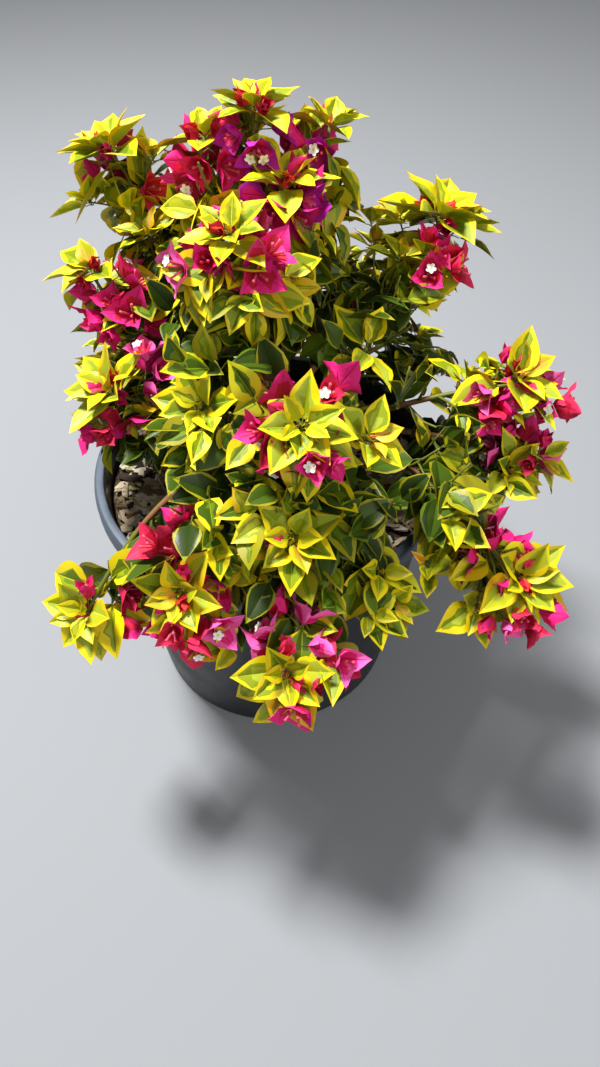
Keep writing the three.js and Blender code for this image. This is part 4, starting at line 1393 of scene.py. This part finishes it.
# %% [markdown]
# ### Leaves in three storeys
# The leaves could be one mesh, or one for each shoot. Three meshes, by the height of the shoots' tips, stay
# easy to handle, and each stands for the masses of leaves that the CAD model has at that height.

# %% Join the leaves
FRESH_PATTERNS = slice(5, 16)
STOREYS = {"lower": 0, "middle": 285, "upper": 345}
leaf_piles = {storey: Pile() for storey in STOREYS}
tip_heights = [shoots[name]["curve"][2][2] for name in names]
storeys = [[storey for storey, least in STOREYS.items() if height >= least][-1] for height in tip_heights]
for leaf in leaves:
    patterns = narrow_margined if leaf["kind"] in ("shaded", "glossy", "tip") else variegated
    if leaf["kind"] in ("star", "young"):
        patterns = variegated[FRESH_PATTERNS]
    pattern = picked(patterns, leaf["pick"])
    palettes = PALETTES[leaf["kind"]]
    palette = palettes[int(leaf["pick"] * len(palettes))].split()
    tones = {zone: tone_numbers[tone] for zone, tone in zip(ZONES, palette)}
    corners = blade_corners(pattern, leaf)
    pile = leaf_piles[storeys[leaf["owner"]]]
    pile.add(corners, pattern["faces"], [tones[zone] for zone in pattern["zones"]], pattern["fold"])
for storey, pile in leaf_piles.items():
    nodes = [f"foliage_{name}" for name, level in zip(names, storeys) if level == storey]
    finish_piece(pile.piece(f"leaves_{storey}"), leaf_finishes, nodes)

# %% [markdown]
# ### Bracts
# A bract is thin and papery, and it crinkles between its veins. Young ones are scarlet or crimson, and they
# turn rose, magenta and at last purple; the crimson and purple also stand in part for painted shade. The
# creases could be sculpted, but a stronger relief in the finish shows them without more faces. The blade is a
# leaf's, broader, with a ruby midrib and a darker throat near its base, which is partly painted shade.

# %% Bract finishes
CRINKLED, SMOOTHER = (0.6, 0.45, 1.6), (0.6, 0.2, 1.2)
bract_finishes = {
    "magenta": leafy_finish("magenta_bract", "#E4247C", *CRINKLED),
    "pink": leafy_finish("pink_bract", "#F464B2", *CRINKLED),
    "rose": leafy_finish("rose_bract", "#DA2C56", *CRINKLED),
    "crimson": leafy_finish("crimson_bract", "#BC1834", *CRINKLED),
    "purple": leafy_finish("purple_bract", "#B4209A", *SMOOTHER),
    "scarlet": leafy_finish("scarlet_young_bract", "#DC3626", *SMOOTHER),
    "ruby": leafy_finish("ruby_bract_vein", "#B60C46", *SMOOTHER),
}
bract_order = list(bract_finishes)
YOUNG_BELOW, HALF_GROWN_BELOW = 0.2, 0.45
# Crimson throats and crimson or purple blades are partly the bracts' own colours and partly painted shade.
GROWN_TONES = [(0.32, "pink", "magenta"), (0.46, "rose", "crimson"), (0.6, "magenta", "crimson"),
               (0.84, "magenta", "magenta"), (math.inf, "purple", "magenta")]


def bract_tones(bract):
    """The tones of a bract's blade and of its throat, whose darker tone is partly painted shade."""
    if bract["age"] < YOUNG_BELOW:
        return ("scarlet" if bract["pick"] < 0.5 else "crimson"), "crimson"
    if bract["age"] < HALF_GROWN_BELOW:
        return ("rose", "crimson") if bract["pick"] < 0.6 else ("magenta", "rose")
    return next((blade, throat) for below, blade, throat in GROWN_TONES if bract["tone"] < below)


# %% Bracts
def bract_pattern(dice):
    stations = np.array([0.1, 0.24, 0.4, 0.57, 0.74, 0.89])
    sides = np.array([[-1, -0.55, -0.045, 0, 0.045, 0.55, 1]] * len(stations), float)
    sides[:, (1, 5)] *= dice.uniform(0.7, 1.3, (len(stations), 2))
    zones = []
    for row in range(len(stations) + 1):
        # The throat, a darker strip near the base, is partly painted shade.
        inner = "throat" if row < len(stations) - 1 - dice.integers(0, 3) else "blade"
        zones += ["blade", inner, "vein", "vein", inner, "blade"]
    return blade_pattern(stations, sides, zones)


dice = np.random.default_rng(8)
bract_patterns = [bract_pattern(dice) for _ in range(5)]
bract_pile = Pile()
for bract in bracts:
    pattern = picked(bract_patterns, bract["pick"])
    corners = blade_corners(pattern, bract)
    blade, throat = bract_tones(bract)
    tones = {"blade": blade, "throat": throat, "vein": "ruby"}
    finishes = [bract_order.index(tones[zone]) for zone in pattern["zones"]]
    bract_pile.add(corners, pattern["faces"], finishes, pattern["fold"])
finish_piece(bract_pile.piece("bracts"), bract_finishes.values())

# %% [markdown]
# ### Flower tubes and stars
# The true flower is a slender tube, pinched below its mouth, and a few have opened to a white star with a
# cream throat. Each could be drawn up like the trunk, but there are hundreds, so the tubes are swept like
# the twigs, and a star is three rings of corners whose radius follows a cosine with five waves.

# %% Flower tubes and stars
flower_finishes = [
    leafy_finish("pink_flower_tube", "#DD5A6E", 0.5),
    leafy_finish("red_flower_tube", "#C02C3E", 0.5),
    leafy_finish("white_petal", "#F3F0E8", 0.55),
    leafy_finish("cream_throat", "#E4CF8C", 0.6),
]
PINK, RED, WHITE, CREAM = range(4)
TUBE_RADII, RED_BELOW = (0.55, 0.8, 0.65, 1.0), 0.5
THROAT_CORNERS, PETAL_CORNERS, STAR_RADIUS, NOTCH = 10, 20, 4.0, 0.86
STAR_RINGS = ((1.0, THROAT_CORNERS, 0.3), (3.0, PETAL_CORNERS, 0.2), (STAR_RADIUS, PETAL_CORNERS, 0.9))
flower_pile = Pile()
for root, end, age in tubes:
    line = np.array([root, root * 0.7 + end * 0.3, root * 0.2 + end * 0.8, end])
    flower_pile.add(*sweep(line, TUBE_RADII, 6), RED if age < RED_BELOW else PINK)


def star(place, axis, turn):
    """A five-lobed star: a raised throat, then petals that are notched at their ends."""
    side = sideways(axis, turn)
    other = np.cross(axis, side)
    corners, faces, tones = [place + axis * 0.4], [], []
    for radius, count, lift in STAR_RINGS:
        for number in range(count):
            bearing = number / count * 2 * math.pi
            reach = radius * (1 if count == THROAT_CORNERS else 0.78 + 0.22 * math.cos(bearing * 5))
            if radius == STAR_RADIUS and number % 4 == 0:
                reach *= NOTCH
            outward = side * math.cos(bearing) + other * math.sin(bearing)
            corners.append(place + axis * lift + reach * outward)
    middle = 1 + THROAT_CORNERS
    outer = middle + PETAL_CORNERS
    for number in range(THROAT_CORNERS):
        low, high = 1 + number, 1 + (number + 1) % THROAT_CORNERS
        a, b, c = (middle + (2 * number + step) % PETAL_CORNERS for step in range(3))
        faces += [(0, low, high), (low, a, b), (low, b, high), (high, b, c)]
        tones += [CREAM, WHITE, WHITE, WHITE]
    for number in range(PETAL_CORNERS):
        after = (number + 1) % PETAL_CORNERS
        faces.append((middle + number, outer + number, outer + after, middle + after))
        tones.append(WHITE)
    return np.array(corners), faces, tones


for place, axis, turn in stars:
    flower_pile.add(*star(place, axis, turn))
finish_piece(flower_pile.piece("flowers"), flower_finishes)

# %% [markdown]
# ## Sizes
# Leaves and bracts reach a little beyond the solids that they stand for. The box of everything shown is
# measured against the CAD box, and the difference is printed for each side, since a size is only good when it
# has been measured.

# %% Print the sizes
low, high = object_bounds()
for axis, name in enumerate("xyz"):
    grown = [round((cad_low[axis] - low[axis]) / MM, 1), round((high[axis] - cad_high[axis]) / MM, 1)]
    print("Beyond the CAD box along", name, "in mm:", grown)
